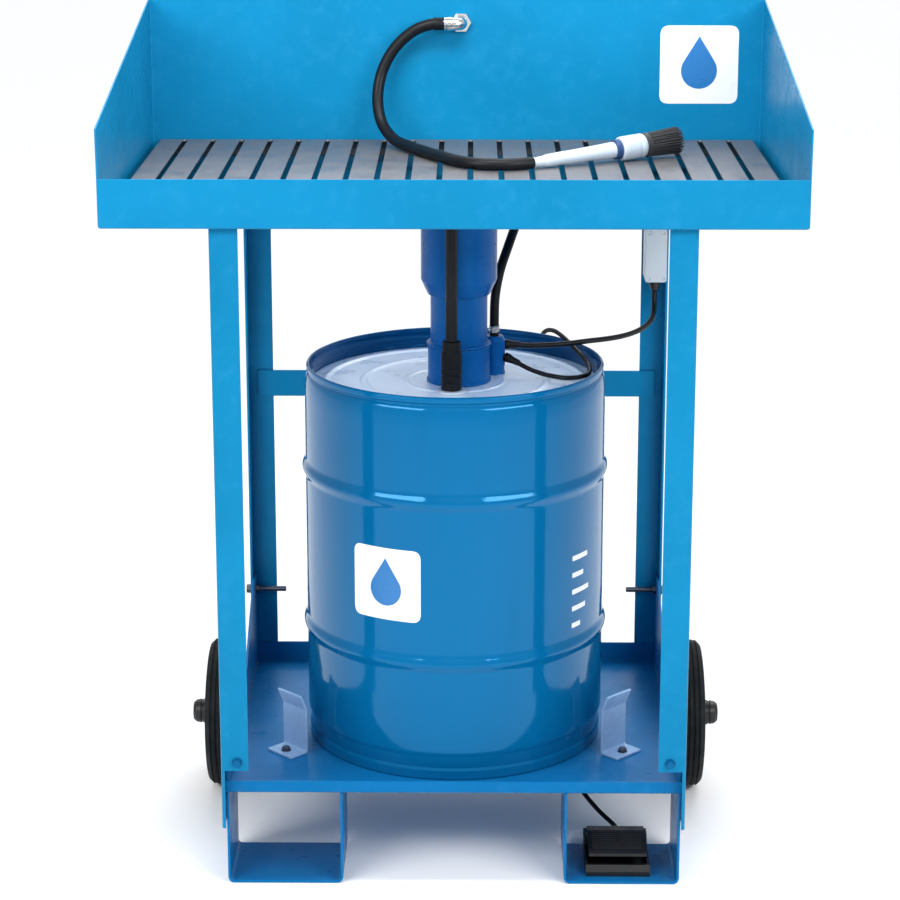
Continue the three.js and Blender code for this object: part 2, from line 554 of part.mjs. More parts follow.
// ---------------------------------------------------------------- power box
function powerBox() {
  const [x0, x1] = box.x;
  const [y0, y1] = box.y;
  const [z0, z1] = box.z;
  const wall = 2.5;
  const seam = y0 + box.cover;
  const shell = block([x0, x1], [seam, y1], [z0, z1]);
  const inside = block([x0 + wall, x1 - wall], [seam - 5, y1 - wall], [z0 + wall, z1 - wall]);
  const glandX = (x0 + x1) / 2;
  const glandHole = rodZ(4, glandX, box.glandY, [z0 - 5, z0 + 10], 12);
  add('power_box', cut(shell, inside, glandHole), greyPlastic);
  add('power_box_cover', block([x0, x1], [y0, seam - gap], [z0, z1]), greyPlastic);
  add('power_box_gland', turnedZ([[0, z0 - 14], [5.5, z0 - 14], [7.5, z0 - 9], [7.5, z0 - gap], [3.6, z0 - gap],
    [3.6, z0 + 4], [0, z0 + 4]], 16, glandX, box.glandY), blackPlastic);
}

// ---------------------------------------------------------------- foot switch
function footSwitch() {
  const [x0, x1] = pedal.x;
  const [y0, y1] = pedal.y;
  const floor = sheet + gap;
  const { baseTop, hingeZ, rise } = pedal;
  const wall = 3;
  const slope = outline([[y0, floor], [y1, floor], [y1, hingeZ + 4], [y1 - 14, hingeZ + 4], [y1 - 24, baseTop],
    [y0 + 4, baseTop], [y0, floor + 6]]);
  const body = prismX(slope, x0, x1);
  const well = block([x0 + wall, x1 - wall], [y0 + 8, y1 - wall], [floor + wall, hingeZ + 20]);
  const hingeY = y1 - 9;
  const pinHole = rodX(2.3, [x0 - 5, x1 + 5], hingeY, hingeZ, 12);
  add('pedal_base', cut(body, well, pinHole), blackPlastic);
  const inset = wall + 1;
  const lever = outline([[y0 + 9, baseTop + 9], [y0 + 9, baseTop + 13], [y0 + 14, baseTop + 16], [y1 - 26, rise],
    [hingeY, rise - 2], [hingeY + 4.4, hingeZ + 6], [hingeY + 4.4, hingeZ - 3.4], [hingeY - 4.4, hingeZ - 4.4],
    [hingeY - 10, hingeZ + 3]]);
  const plate = prismX(lever, x0 + inset, x1 - inset);
  const middle = (x0 + x1) / 2;
  const springSlot = block([middle - 9, middle + 9], [hingeY - 9, hingeY + 9], [hingeZ - 9, hingeZ + 7]);
  add('pedal_treadle', cut(plate, pinHole, springSlot), blackPlastic);
  add('pedal_pin', rodX(2, [x0 + 0.6, x1 - 0.6], hingeY, hingeZ, 10), zincPlate);
  const coil = [];
  const turns = 4;
  for (let i = 0; i <= turns * 8; i++) {
    const angle = i * Math.PI / 4;
    const along = middle - 6 + 12 * i / (turns * 8);
    coil.push([along, hingeY + 4.6 * Math.cos(angle), hingeZ + 4.6 * Math.sin(angle)]);
  }
  add('pedal_spring', tubeAlong(coil, 1.4, turns * 8, 6), zincPlate);
  const { x, z } = pedalGland;
  add('pedal_gland', joined(rodY(4.6, x, [y1 + gap, y1 + 6], z, 12), rodY(3.6, x, [y1 + 3, y1 + 12], z, 12)),
    blackRubber);
}

// ---------------------------------------------------------------- assembly
washTray();
slottedGrate();
legs();
railsAndCrossbar();
basePan();
sidePlates();
feet();
fasteners();
axleAndWheels();
drumShell();
drumLid();
guideBrackets();
drainSleeve();
drainTube();
riserPipe();
pumpInDrum();
hosesAndCables();
bulkheadFitting();
washBrush();
powerBox();
footSwitch();

// The bulkhead fitting stands out behind the tray, so the middle of the footprint is behind the drum's axis.
washer.position.y = -bulkhead.barb / 2;
const partsWasher = new THREE.Group();
partsWasher.add(washer);

export default partsWasher;
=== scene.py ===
"""A mobile parts washer: a sheet-steel wash tray on an angle frame, over a painted steel solvent drum."""

import math
import random

import bmesh
import bpy
from mathutils import Matrix, Vector


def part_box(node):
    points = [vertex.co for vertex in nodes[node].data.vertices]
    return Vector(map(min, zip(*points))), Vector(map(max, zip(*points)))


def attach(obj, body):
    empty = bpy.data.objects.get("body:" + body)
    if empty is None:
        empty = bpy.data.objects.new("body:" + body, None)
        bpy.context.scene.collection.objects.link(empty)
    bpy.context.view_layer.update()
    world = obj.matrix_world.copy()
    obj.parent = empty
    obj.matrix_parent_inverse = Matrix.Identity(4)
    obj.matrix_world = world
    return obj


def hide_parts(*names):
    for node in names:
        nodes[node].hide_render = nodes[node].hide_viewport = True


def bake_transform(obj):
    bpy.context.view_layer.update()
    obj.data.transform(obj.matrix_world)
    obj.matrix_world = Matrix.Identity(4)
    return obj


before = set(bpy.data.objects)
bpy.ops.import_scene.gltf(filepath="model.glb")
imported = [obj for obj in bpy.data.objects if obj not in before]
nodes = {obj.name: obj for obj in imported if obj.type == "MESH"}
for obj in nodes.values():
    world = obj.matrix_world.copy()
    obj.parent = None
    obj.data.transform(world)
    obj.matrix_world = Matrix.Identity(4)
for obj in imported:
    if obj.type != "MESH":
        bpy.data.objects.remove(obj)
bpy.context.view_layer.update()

scene = bpy.context.scene
MM = 0.001
SIDES = (("right", 1), ("left", -1))

# ---------------- places and sizes, in millimetres
# X and Y are counted from the drum's axis, and Z from the floor.
drum_low, drum_high = (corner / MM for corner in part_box("drum_shell"))
AXIS_Y = (drum_low.y + drum_high.y) / 2


def box(node):
    """Lowest and highest corner of a CAD node, in millimetres from the drum's axis."""
    shift = Vector((0, AXIS_Y, 0))
    return tuple(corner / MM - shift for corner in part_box(node))


def middle_of(node):
    """The middle of a CAD node's box, in millimetres from the drum's axis."""
    low, high = box(node)
    return (low + high) / 2


def metres(point):
    """A point in millimetres from the drum's axis, as a point of the scene in metres."""
    return Vector((point[0], point[1] + AXIS_Y, point[2])) * MM


GAP = 0.3       # left between a piece and the neighbour that it fits
SHEET = 3.0     # the frame's sheet and angles
TRAY_LOW, TRAY_HIGH = box("wash_tray")
TRAY = {"wall": 2.0, "lip": 892.0, "corner": 950.0, "back": 259.0}
GRATE_LOW, GRATE_HIGH = box("grate")
GRATE = {"slots": 20, "pitch": 38.2, "width": 7.0, "border": 9.0, "plate": 2.4}
LEG = {"outer": 284.0, "front": -240.0, "rear": 240.0, "flange": 34.0, "cut": 158.0}
PAN_LOW, PAN_HIGH = box("base_pan")
PAN = {"lip": 137.0, "plate": 280.7, "rear": 236.7}
SIDE = {"shelf": 166.0, "tab": 186.0, "tab_width": 28.0, "top": 253.0, "boss": 26.0}
FOOT_LOW, FOOT_HIGH = box("front_foot_right")
AXLE = {"y": 106.0, "z": 98.0, "radius": 10.0, "half": 342.0, "bore": 10.3}
WHEEL = {"radius": 98.0, "rim": 68.0, "inner": 293.0, "outer": 332.0, "cap": 356.0, "cap_radius": 16.5}
DRUM = {"radius": 191.0, "hoop": 195.0, "hoops": (277.0, 483.0), "rim": 188.5, "wall": 2.2}
LID = {"radius": 183.6, "low": 587.8, "top": 590.0}
DRAIN = {"x": 5.0, "tray_hole": 43.0, "lid_hole": 37.5, "sleeve": 48.0, "neck": 36.8, "weld": 53.0}
TUBE = {"radius": 36.0, "bore": 33.6, "bead": 639.0}
PUMP, PUMP_HOLE = (50.0, 36.0), 10.0
RISER, RISER_HOLE = (-4.0, -61.0), 8.5
BULKHEAD = {"x": 6.0, "z": 1014.0, "front": 237.0, "rear": 275.5, "reach": 22.0, "bend": 10.0,
            "radius": 9.5, "tray_hole": 9.4, "nut_bore": 9.3}
GUIDE = {"x": 202.0, "y": -88.0, "width": 44.0, "height": 80.0, "tab": 30.0, "turn": math.pi / 4}
BRUSH = {"tail": (97.0, 17.0, 865.8), "turn": 28.0, "tilt": 3.6}
POWER_BOX = {"wall": 2.5, "gland_y": 210.0, "gland_hole": 4.0}
GROMMET = {"hole": 7.0, "neck": 6.6, "edge": 9.0}
# Where the printed films lie: (x, height) on the back wall, and (azimuth in degrees, height) on the drum.
WALL_SIGN = (323.0, 958.0)
DRUM_SIGN = (-26.0, 376.0)
DRUM_NOTES = {"azimuth": 56.0, "top": 392.0, "pitch": 22.0, "halves": (17, 12, 19, 15, 9)}
CAMERA = {"place": (21.7, -3110.9, 1388.0), "pitch": 14.344, "yaw": 0.515, "lens": 101.16, "shift": -0.08}


# ---------------- camera
def make_camera():
    """A long lens in front of the washer that looks a little down, with its picture shifted."""
    data = bpy.data.cameras.new("camera")
    data.lens = CAMERA["lens"]
    data.sensor_width = 36
    data.shift_y = CAMERA["shift"]
    camera = bpy.data.objects.new("camera", data)
    camera.location = metres(CAMERA["place"])
    camera.rotation_euler = (math.radians(90 - CAMERA["pitch"]), 0, math.radians(CAMERA["yaw"]))
    scene.collection.objects.link(camera)
    scene.camera = camera


# ---------------- materials
class Look:
    """A material being made: its Principled shader, and short ways to add to it."""

    def __init__(self, name, color, roughness, **sockets):
        self.material = bpy.data.materials.new(name)
        self.material.use_nodes = True
        self.tree = self.material.node_tree
        self.shader = self.tree.nodes["Principled BSDF"]
        self.color = (*color, 1)
        self.normal = None
        self.place = self.add("ShaderNodeTexCoord", {}).outputs["Object"]
        self.feed(self.shader, {"Base Color": self.color, "Roughness": roughness})
        self.feed(self.shader, {socket.replace("_", " "): value for socket, value in sockets.items()})

    def add(self, kind, inputs, **settings):
        """A new shader node with these inputs."""
        node = self.tree.nodes.new(kind)
        for name, value in settings.items():
            setattr(node, name, value)
        self.feed(node, inputs)
        return node

    def feed(self, node, inputs):
        """Gives each of these inputs its value, or links it to another node's output."""
        for socket, value in inputs.items():
            if isinstance(value, bpy.types.NodeSocket):
                self.tree.links.new(value, node.inputs[socket])
            else:
                node.inputs[socket].default_value = value

    def noise(self, scale, detail=3.0, stretch=(1, 1, 1), rough=0.55):
        """Noise with about this many features per metre, times the given factor along each axis."""
        stretched = self.add("ShaderNodeVectorMath", {0: self.place, 1: stretch}, operation="MULTIPLY")
        return self.add("ShaderNodeTexNoise", {"Vector": stretched.outputs[0], "Scale": scale,
                                               "Detail": detail, "Roughness": rough}).outputs["Fac"]

    def grain(self, scale):
        """Cells with about this many to the metre."""
        return self.add("ShaderNodeTexVoronoi", {"Vector": self.place, "Scale": scale}).outputs["Distance"]

    def ranged(self, source, low, high, to_low, to_high):
        """A value that runs between two limits as the source runs from low to high."""
        return self.add("ShaderNodeMapRange", {"Value": source, "From Min": low, "From Max": high,
                                               "To Min": to_low, "To Max": to_high}).outputs["Result"]

    def tint(self, source, low, high, amount, color):
        """Lays this amount of another colour over what is there, where the source is high."""
        mask = self.ranged(source, low, high, 0, amount)
        mix = self.add("ShaderNodeMix", {"Factor": mask}, data_type="RGBA")
        under, over = [k for k, socket in enumerate(mix.inputs) if socket.type == "RGBA"]
        self.feed(mix, {under: self.color, over: (*color, 1)})
        self.color = next(socket for socket in mix.outputs if socket.type == "RGBA")
        self.feed(self.shader, {"Base Color": self.color})

    def uneven(self, source, smoothest, roughest):
        """Roughness that follows a noise."""
        self.feed(self.shader, {"Roughness": self.ranged(source, 0.3, 0.7, smoothest, roughest)})

    def bump(self, height, distance, strength):
        """Adds a relief of this height in metres to the surface."""
        inputs = {"Height": height, "Distance": distance, "Strength": strength}
        if self.normal is not None:
            inputs["Normal"] = self.normal
        self.normal = self.add("ShaderNodeBump", inputs).outputs["Normal"]
        self.feed(self.shader, {"Normal": self.normal})


def shade(color, factor, lift=0.0):
    """The colour made darker or brighter by a factor, and then lifted towards white."""
    return tuple(min(1, factor * c + lift) for c in color)


def powder_coat(name, color, roughness, specular, wear):
    """Powder coat: orange peel, small tone changes, dust specks, and scuffs that show darker primer."""
    look = Look(name, color, roughness, Specular_IOR_Level=specular, Specular_Tint=(0.1, 0.6, 1.0, 1),
                Coat_Weight=0.05, Coat_Roughness=0.1)
    look.tint(look.noise(5, 2), 0.35, 0.65, 0.7, shade(color, 0.82))
    look.tint(look.noise(60, 4), 0.5, 0.72, 0.35, shade(color, 1.08, 0.01))
    scuffs = look.noise(240, 5, stretch=(1, 1, 0.12), rough=0.7)
    look.tint(scuffs, 0.735, 0.76, wear, shade(color, 0.5, 0.05))
    look.uneven(look.noise(35, 4), roughness * 0.75, roughness * 1.35)
    look.bump(look.noise(420, 2, rough=0.4), 0.00022, 0.5)
    look.bump(scuffs, 0.00005, 0.3)
    return look.material


def enamel(name, color):
    """Sprayed drum enamel: glossy, faint runs down the shell, and rub marks where the drum was rolled."""
    look = Look(name, color, 0.12, Specular_IOR_Level=0.5, Specular_Tint=(0.04, 0.5, 1.0, 1),
                Coat_Weight=0.16, Coat_Roughness=0.04)
    look.tint(look.noise(4, 3), 0.35, 0.65, 0.6, shade(color, 0.86))
    look.tint(look.noise(26, 3, stretch=(1, 1, 0.08)), 0.55, 0.75, 0.22, shade(color, 0.72))
    rubs = look.noise(90, 6, stretch=(0.5, 0.5, 1.6), rough=0.75)
    look.tint(rubs, 0.69, 0.73, 0.5, shade(color, 0.6, 0.09))
    look.uneven(look.noise(20, 4), 0.07, 0.16)
    look.bump(look.noise(160, 2, rough=0.4), 0.00025, 0.35)
    look.bump(look.noise(9, 2), 0.0025, 0.12)
    return look.material


def pale_enamel():
    """The lid's thin pale enamel, cloudy and marked by drips."""
    look = Look("lid_enamel", (0.72, 0.83, 0.98), 0.26, Specular_IOR_Level=0.5, Coat_Weight=0.3,
                Coat_Roughness=0.15)
    look.tint(look.noise(12, 4), 0.4, 0.7, 0.5, (0.64, 0.78, 0.97))
    look.tint(look.noise(45, 5, rough=0.7), 0.66, 0.76, 0.12, (0.42, 0.46, 0.56))
    look.uneven(look.noise(30, 4), 0.22, 0.48)
    look.bump(look.noise(300, 2), 0.0002, 0.4)
    return look.material


def sheet_steel():
    """Bare rolled plate, with lines along the rolling direction, water stains and scratches from parts."""
    look = Look("rolled_plate", (0.20, 0.195, 0.205), 0.4, Metallic=0.55, Specular_IOR_Level=0.5)
    rolling = look.noise(700, 3, stretch=(1, 0.02, 1), rough=0.6)
    look.tint(rolling, 0.35, 0.65, 0.5, (0.145, 0.145, 0.155))
    look.tint(look.noise(7, 5, rough=0.65), 0.45, 0.7, 0.55, (0.23, 0.225, 0.235))
    stains = look.noise(22, 6, rough=0.7)
    look.tint(stains, 0.62, 0.7, 0.4, (0.10, 0.10, 0.11))
    scratches = look.noise(160, 6, stretch=(0.15, 1, 1), rough=0.8)
    look.tint(scratches, 0.70, 0.74, 0.6, (0.38, 0.38, 0.40))
    look.uneven(stains, 0.3, 0.55)
    look.bump(rolling, 0.00006, 0.5)
    look.bump(scratches, 0.00012, 0.4)
    return look.material


def plated(name, color, roughness):
    """Zinc or nickel plating: soft cloudy spangle and fine machining lines."""
    look = Look(name, color, roughness, Metallic=1.0)
    look.tint(look.noise(180, 4), 0.4, 0.65, 0.6, shade(color, 0.72))
    look.tint(look.noise(900, 2), 0.62, 0.72, 0.3, shade(color, 1.3))
    look.uneven(look.noise(260, 4), roughness * 0.7, roughness * 1.5)
    look.bump(look.noise(1400, 2), 0.00004, 0.5)
    return look.material


def rubber(name, color, roughness, pitting, dust):
    """Moulded rubber: a matt skin, a bloom of grey dust, and fine pitting."""
    look = Look(name, color, roughness, Specular_IOR_Level=0.2)
    look.tint(look.noise(40, 5, rough=0.65), 0.5, 0.75, dust, (0.11, 0.115, 0.115))
    look.tint(look.noise(500, 2), 0.6, 0.75, 0.4, shade(color, 2.2))
    look.uneven(look.noise(70, 4), roughness * 0.8, min(1, roughness * 1.2))
    look.bump(look.noise(pitting, 3), 0.00012, 0.5)
    return look.material


def plastic(name, color, roughness, grain=1500, depth=0.00006, marks=0.15):
    """Moulded plastic with a spark-eroded grain, hand marks and a faint change of tone."""
    look = Look(name, color, roughness, Specular_IOR_Level=0.45)
    look.tint(look.noise(30, 4), 0.4, 0.7, 0.5, shade(color, 0.88))
    look.tint(look.noise(130, 6, rough=0.75), 0.66, 0.74, marks, shade(color, 0.6, 0.06))
    look.uneven(look.noise(60, 4), roughness * 0.8, roughness * 1.3)
    look.bump(look.grain(grain), depth, 0.5)
    return look.material


def bristles():
    """Packed nylon bristles, some of them worn paler."""
    look = Look("nylon_bristles", (0.018, 0.018, 0.02), 0.5, Specular_IOR_Level=0.5, Sheen_Weight=0.15)
    look.tint(look.noise(900, 2), 0.5, 0.7, 0.6, (0.05, 0.05, 0.055))
    look.bump(look.noise(3000, 2), 0.00005, 0.4)
    return look.material


def film(name, color):
    """Printed vinyl film, slightly uneven, with tiny specks."""
    look = Look(name, color, 0.3, Specular_IOR_Level=0.4)
    look.tint(look.noise(70, 4), 0.5, 0.75, 0.3, shade(color, 0.9))
    look.uneven(look.noise(50, 3), 0.24, 0.4)
    look.bump(look.noise(700, 2), 0.00003, 0.3)
    return look.material


LOOKS = {
    "blue_paint": powder_coat("blue_powder_coat", (0.005, 0.19, 0.385), 0.34, 0.2, 0.08),
    # Deep blue for the drain column, collar and pump pipe: partly their own darker paint, partly painted
    # shade under the tray.
    "column_paint": powder_coat("deep_blue_paint_partly_painted_shade", (0.003, 0.095, 0.34), 0.3, 0.3, 0.2),
    "drum_paint": enamel("drum_enamel", (0.001, 0.112, 0.28)),
    "lid_paint": pale_enamel(),
    "grate_steel": sheet_steel(),
    "zinc": plated("zinc_plating", (0.60, 0.62, 0.64), 0.32),
    "bright_metal": plated("nickel_plating", (0.82, 0.82, 0.83), 0.14),
    "tyre_rubber": rubber("solid_tyre_rubber", (0.004, 0.006, 0.007), 0.72, 900, 0.06),
    "hose_rubber": rubber("hose_rubber", (0.004, 0.005, 0.007), 0.42, 1500, 0.05),
    "black_plastic": plastic("black_plastic", (0.005, 0.005, 0.006), 0.42),
    "grey_plastic": plastic("grey_plastic", (0.55, 0.60, 0.64), 0.4),
    "white_plastic": plastic("white_plastic", (0.52, 0.60, 0.68), 0.28, 900, 0.00003, 0.1),
    "navy_plastic": plastic("navy_plastic", (0.02, 0.06, 0.18), 0.3),
    "bristle": bristles(),
}
# A darker copy of the blue powder coat: painted shade on the pan, side plates and feet, which lie under the
# tray.
SHADED_PAN_PAINT = powder_coat("pan_powder_coat_painted_shade", (0.003, 0.14, 0.37), 0.34, 0.2, 0.06)
# A paler, glossier copy of the blue powder coat: painted highlight for the light that the guide brackets
# catch.
LIT_BRACKET_PAINT = powder_coat("bracket_paint_painted_highlight", (0.26, 0.42, 0.66), 0.26, 0.5, 0.1)
BOLT_PAINT = powder_coat("painted_over_bolt", (0.003, 0.10, 0.26), 0.35, 0.3, 0.2)
DARK_ZINC = plated("dark_zinc", (0.11, 0.12, 0.15), 0.38)
# A darker copy of the drum enamel: painted shade inside the drum's rim and wall.
SHADED_INNER_ENAMEL = enamel("drum_inside_enamel_painted_shade", (0.001, 0.06, 0.19))
WHITE_FILM = film("white_film", (0.80, 0.82, 0.84))
BLUE_FILM = film("blue_film", (0.02, 0.16, 0.42))


# ---------------- outlines
def filleted(points, radius, steps=4, closed=False):
    """The outline with its corners rounded, each by an arc of about this radius."""
    made = []
    count = len(points)
    for i, point in enumerate(points):
        here = Vector(point)
        if not closed and i in (0, count - 1):
            made.append(tuple(here))
            continue
        back, ahead = Vector(points[i - 1]) - here, Vector(points[(i + 1) % count]) - here
        angle = back.angle(ahead, math.pi)
        if back.length < 1e-6 or ahead.length < 1e-6 or angle > math.radians(174):
            made.append(tuple(here))
            continue
        reach = min(radius / math.tan(angle / 2), 0.48 * back.length, 0.48 * ahead.length)
        start, end = here + back.normalized() * reach, here + ahead.normalized() * reach
        made += [tuple(bent(start, here, end, k / steps)) for k in range(steps + 1)]
    return made


def bent(start, corner, end, t):
    """The point at t, from 0 to 1, on a curve that leaves and arrives along the corner's two sides."""
    return start * (1 - t) ** 2 + corner * (2 * t * (1 - t)) + end * t * t


def rectangle(low_u, low_v, high_u, high_v):
    """A closed outline between two corners."""
    return [(low_u, low_v), (high_u, low_v), (high_u, high_v), (low_u, high_v)]


def strip(points, thickness, bend):
    """A bent strip's closed section: its outer face follows the points, with the metal to their left."""
    line = [Vector(p) for p in points]
    runs = [(b - a).normalized() for a, b in zip(line, line[1:])]
    inner = []
    for i, point in enumerate(line):
        before, after = runs[max(0, i - 1)], runs[min(i, len(runs) - 1)]
        left = Vector((-before.y - after.y, before.x + after.x)).normalized()
        inner.append(point + left * thickness / max(0.2, left.dot(Vector((-after.y, after.x)))))
    convex = filleted([tuple(p) for p in line], bend + thickness, 6)
    return convex + filleted([tuple(p) for p in inner], bend, 6)[::-1]


def smooth_route(points, per_span=8):
    """The points of a centripetal Catmull-Rom curve through the route."""
    line = [Vector(p) for p in points]
    line = [line[0] * 2 - line[1], *line, line[-1] * 2 - line[-2]]
    made = []
    for a, b, c, d in zip(line, line[1:], line[2:], line[3:]):
        t1 = (b - a).length ** 0.5
        t2 = t1 + (c - b).length ** 0.5
        t3 = t2 + (d - c).length ** 0.5
        for k in range(per_span):
            t = t1 + (t2 - t1) * k / per_span
            ab = a * ((t1 - t) / t1) + b * (t / t1)
            bc = b * ((t2 - t) / (t2 - t1)) + c * ((t - t1) / (t2 - t1))
            cd = c * ((t3 - t) / (t3 - t2)) + d * ((t - t2) / (t3 - t2))
            first = ab * ((t2 - t) / t2) + bc * (t / t2)
            second = bc * ((t3 - t) / (t3 - t1)) + cd * ((t - t1) / (t3 - t1))
            made.append(first * ((t2 - t) / (t2 - t1)) + second * ((t - t1) / (t2 - t1)))
    return made + [line[-2]]


# ---------------- mesh making
def around(sides):
    """The angles of this many equal steps round a circle."""
    return [2 * math.pi * k / sides for k in range(sides)]


def band(bm, low, high):
    """Joins two rings of as many points by a band of faces."""
    for i in range(len(low)):
        j = (i + 1) % len(low)
        bm.faces.new([low[i], low[j], high[j], high[i]])


def finished(bm):
    """The mesh with its faces pointing outwards."""
    bmesh.ops.recalc_face_normals(bm, faces=bm.faces)
    return bm


def turned(profile, sides=96, closed=False):
    """A (radius, height) outline turned about the Z axis, in millimetres."""
    bm = bmesh.new()
    rings = []
    for radius, height in profile:
        if radius < 1e-6:
            rings.append([bm.verts.new((0, 0, height))])
        else:
            spots = [(radius * math.cos(a), radius * math.sin(a), height) for a in around(sides)]
            rings.append([bm.verts.new(spot) for spot in spots])
    pairs = list(zip(rings, rings[1:])) + ([(rings[-1], rings[0])] if closed else [])
    for low, high in pairs:
        for i in range(sides):
            j = (i + 1) % sides
            corners = [low[i % len(low)], low[j % len(low)], high[j % len(high)], high[i % len(high)]]
            corners = list(dict.fromkeys(corners))
            if len(corners) > 2:
                bm.faces.new(corners)
    return finished(bm)


def lathed(profile, rounding, sides=64, steps=4):
    """A solid turned body whose outline's corners are rounded. The outline starts and ends on the axis."""
    return turned(filleted(profile, rounding, steps), sides)


def ringed(profile, rounding, sides=64, steps=4):
    """A turned ring with rounded corners: its outline closes on itself, clear of the axis."""
    return turned(filleted(profile, rounding, steps, True), sides, True)


def rod(radius, low, high, sides=32):
    """A plain cylinder about the Z axis."""
    return turned([(0, low), (radius, low), (radius, high), (0, high)], sides)


def extruded(outline, axis, span):
    """A closed outline pushed along an axis. It lies in (y, z) for X, (x, z) for Y and (x, y) for Z."""
    order = {"X": lambda u, v, w: (w, u, v), "Y": lambda u, v, w: (u, w, v), "Z": lambda u, v, w: (u, v, w)}
    bm = bmesh.new()
    ends = [[bm.verts.new(order[axis](u, v, w)) for u, v in outline] for w in span]
    for end in ends:
        bm.faces.new(end)
    band(bm, *ends)
    return finished(bm)


def block(low, high):
    """A box between two corners."""
    bm = bmesh.new()
    bmesh.ops.create_cube(bm, size=1)
    low, high = Vector(low), Vector(high)
    return put(bm, Matrix.Translation((low + high) / 2) @ Matrix.Diagonal((*(high - low), 1)))


def folded(faces, inside, thickness, bend):
    """Flat panels that share edges, bent from one sheet: rounded folds, with the metal inside the panels."""
    bm = bmesh.new()
    corners = {tuple(point): None for face in faces for point in face}
    for point in corners:
        corners[point] = bm.verts.new(point)
    for face in faces:
        bm.faces.new([corners[tuple(point)] for point in face])
    bm.normal_update()
    for face in bm.faces:
        if face.normal.dot(face.calc_center_median() - Vector(inside)) < 0:
            face.normal_flip()
    folds = [e for e in bm.edges if len(e.link_faces) == 2 and e.calc_face_angle(0) > 0.2]
    bmesh.ops.bevel(bm, geom=folds, offset=bend + thickness, segments=5, affect="EDGES", profile=0.5)
    bm.normal_update()
    bmesh.ops.solidify(bm, geom=bm.faces[:], thickness=thickness)
    return bm


def swept(points, radius, sides=20):
    """A round tube along the points. The radius is a number, or a function of the distance along it."""
    line = [Vector(p) for p in points]
    size = radius if callable(radius) else (lambda along: radius)
    bm = bmesh.new()
    last = len(line) - 1
    tangents = [(line[min(i + 1, last)] - line[max(i - 1, 0)]).normalized() for i in range(last + 1)]
    across = tangents[0].orthogonal().normalized()
    rings, along = [], 0.0
    for i, (point, tangent) in enumerate(zip(line, tangents)):
        along += (point - line[i - 1]).length if i else 0
        across = (across - tangent * across.dot(tangent)).normalized()
        rings.append(ring_of(bm, point, tangent, across, size(along), sides))
    for low, high in zip(rings, rings[1:]):
        band(bm, low, high)
    bm.faces.new(rings[0][::-1])
    bm.faces.new(rings[-1])
    return finished(bm)


def ring_of(bm, middle, tangent, across, radius, sides):
    """Points in a circle that faces along the tangent."""
    up = tangent.cross(across)
    spots = [middle + (across * math.cos(a) + up * math.sin(a)) * radius for a in around(sides)]
    return [bm.verts.new(spot) for spot in spots]


def merged(*parts):
    """Several meshes as one, each still a closed body."""
    whole = bmesh.new()
    for part in parts:
        mesh = bpy.data.meshes.new("part")
        part.to_mesh(mesh)
        part.free()
        whole.from_mesh(mesh)
        bpy.data.meshes.remove(mesh)
    return whole


def pointing(direction, place):
    """A matrix that turns +Z to the direction and moves the origin to the place, in millimetres."""
    turn = Vector(direction).to_track_quat("Z", "Y").to_matrix().to_4x4()
    return Matrix.Translation(place) @ turn


def standing(x, y, z=0.0):
    """A matrix that moves the origin and leaves +Z up, in millimetres."""
    return Matrix.Translation((x, y, z))


def put(bm, matrix):
    """Moves a mesh, and keeps its faces pointing outwards if the matrix mirrors it."""
    bm.transform(matrix)
    if matrix.determinant() < 0:
        bmesh.ops.reverse_faces(bm, faces=bm.faces)
    return bm


def mirrored(bm, sign):
    """The mesh itself for the right side (1), or its mirror image for the left (-1)."""
    return put(bm, Matrix.Diagonal((sign, 1, 1, 1)))


# ---------------- pieces
def to_object(name, bm):
    """An object from a mesh in millimetres from the drum's axis."""
    bm.transform(Matrix.Diagonal((MM, MM, MM, 1)) @ Matrix.Translation((0, AXIS_Y, 0)))
    mesh = bpy.data.meshes.new(name)
    bm.to_mesh(mesh)
    bm.free()
    made = bpy.data.objects.new(name, mesh)
    scene.collection.objects.link(made)
    return made


def carve(made, *tools):
    """Cuts the tools out of an object's mesh."""
    cutters = [to_object(f"cutter_{i}", tool) for i, tool in enumerate(tools)]
    for cutter in cutters:
        modifier = made.modifiers.new("cut", "BOOLEAN")
        modifier.operation, modifier.solver, modifier.object = "DIFFERENCE", "EXACT", cutter
    graph = bpy.context.evaluated_depsgraph_get()
    mesh = bpy.data.meshes.new_from_object(made.evaluated_get(graph))
    made.modifiers.clear()
    made.data = mesh
    for cutter in cutters:
        bpy.data.objects.remove(cutter)
    return made


def soften(made, width):
    """Rounds the sharp edges by this many millimetres."""
    bevel = made.modifiers.new("edges", "BEVEL")
    bevel.width, bevel.segments, bevel.limit_method = width * MM, 2, "ANGLE"
    bevel.angle_limit = math.radians(40)
    bevel.harden_normals = False
    bevel.use_clamp_overlap = True


def dress(made, slot, node=None, body="root", edge=0.0, look=None, smooth=35):
    """Gives a new piece its shading, material and body, and hides the CAD node that it stands for."""
    mesh = made.data
    if made.type == "MESH":
        mesh.polygons.foreach_set("use_smooth", [True] * len(mesh.polygons))
        mesh.set_sharp_from_angle(angle=math.radians(smooth))
        if edge:
            soften(made, edge)
        weighted = made.modifiers.new("weighted", "WEIGHTED_NORMAL")
        weighted.keep_sharp = True
    mesh.materials.clear()
    mesh.materials.append(look or LOOKS[slot])
    if node:
        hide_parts(node)
    if body:
        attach(made, body)
    return made


def piece(name, bm, slot, node=None, body="root", **options):
    """A new piece made of this mesh, dressed with these options."""
    dress(to_object(name, bm), slot, node, body, **options)


def keep(node, slot, edge):
    """A CAD node that stays as it is, with softened edges and a finished material."""
    made = nodes[node]
    if not made.material_slots:
        made.data.materials.append(None)
    made.material_slots[0].link = "OBJECT"
    made.material_slots[0].material = LOOKS[slot]
    soften(made, edge)


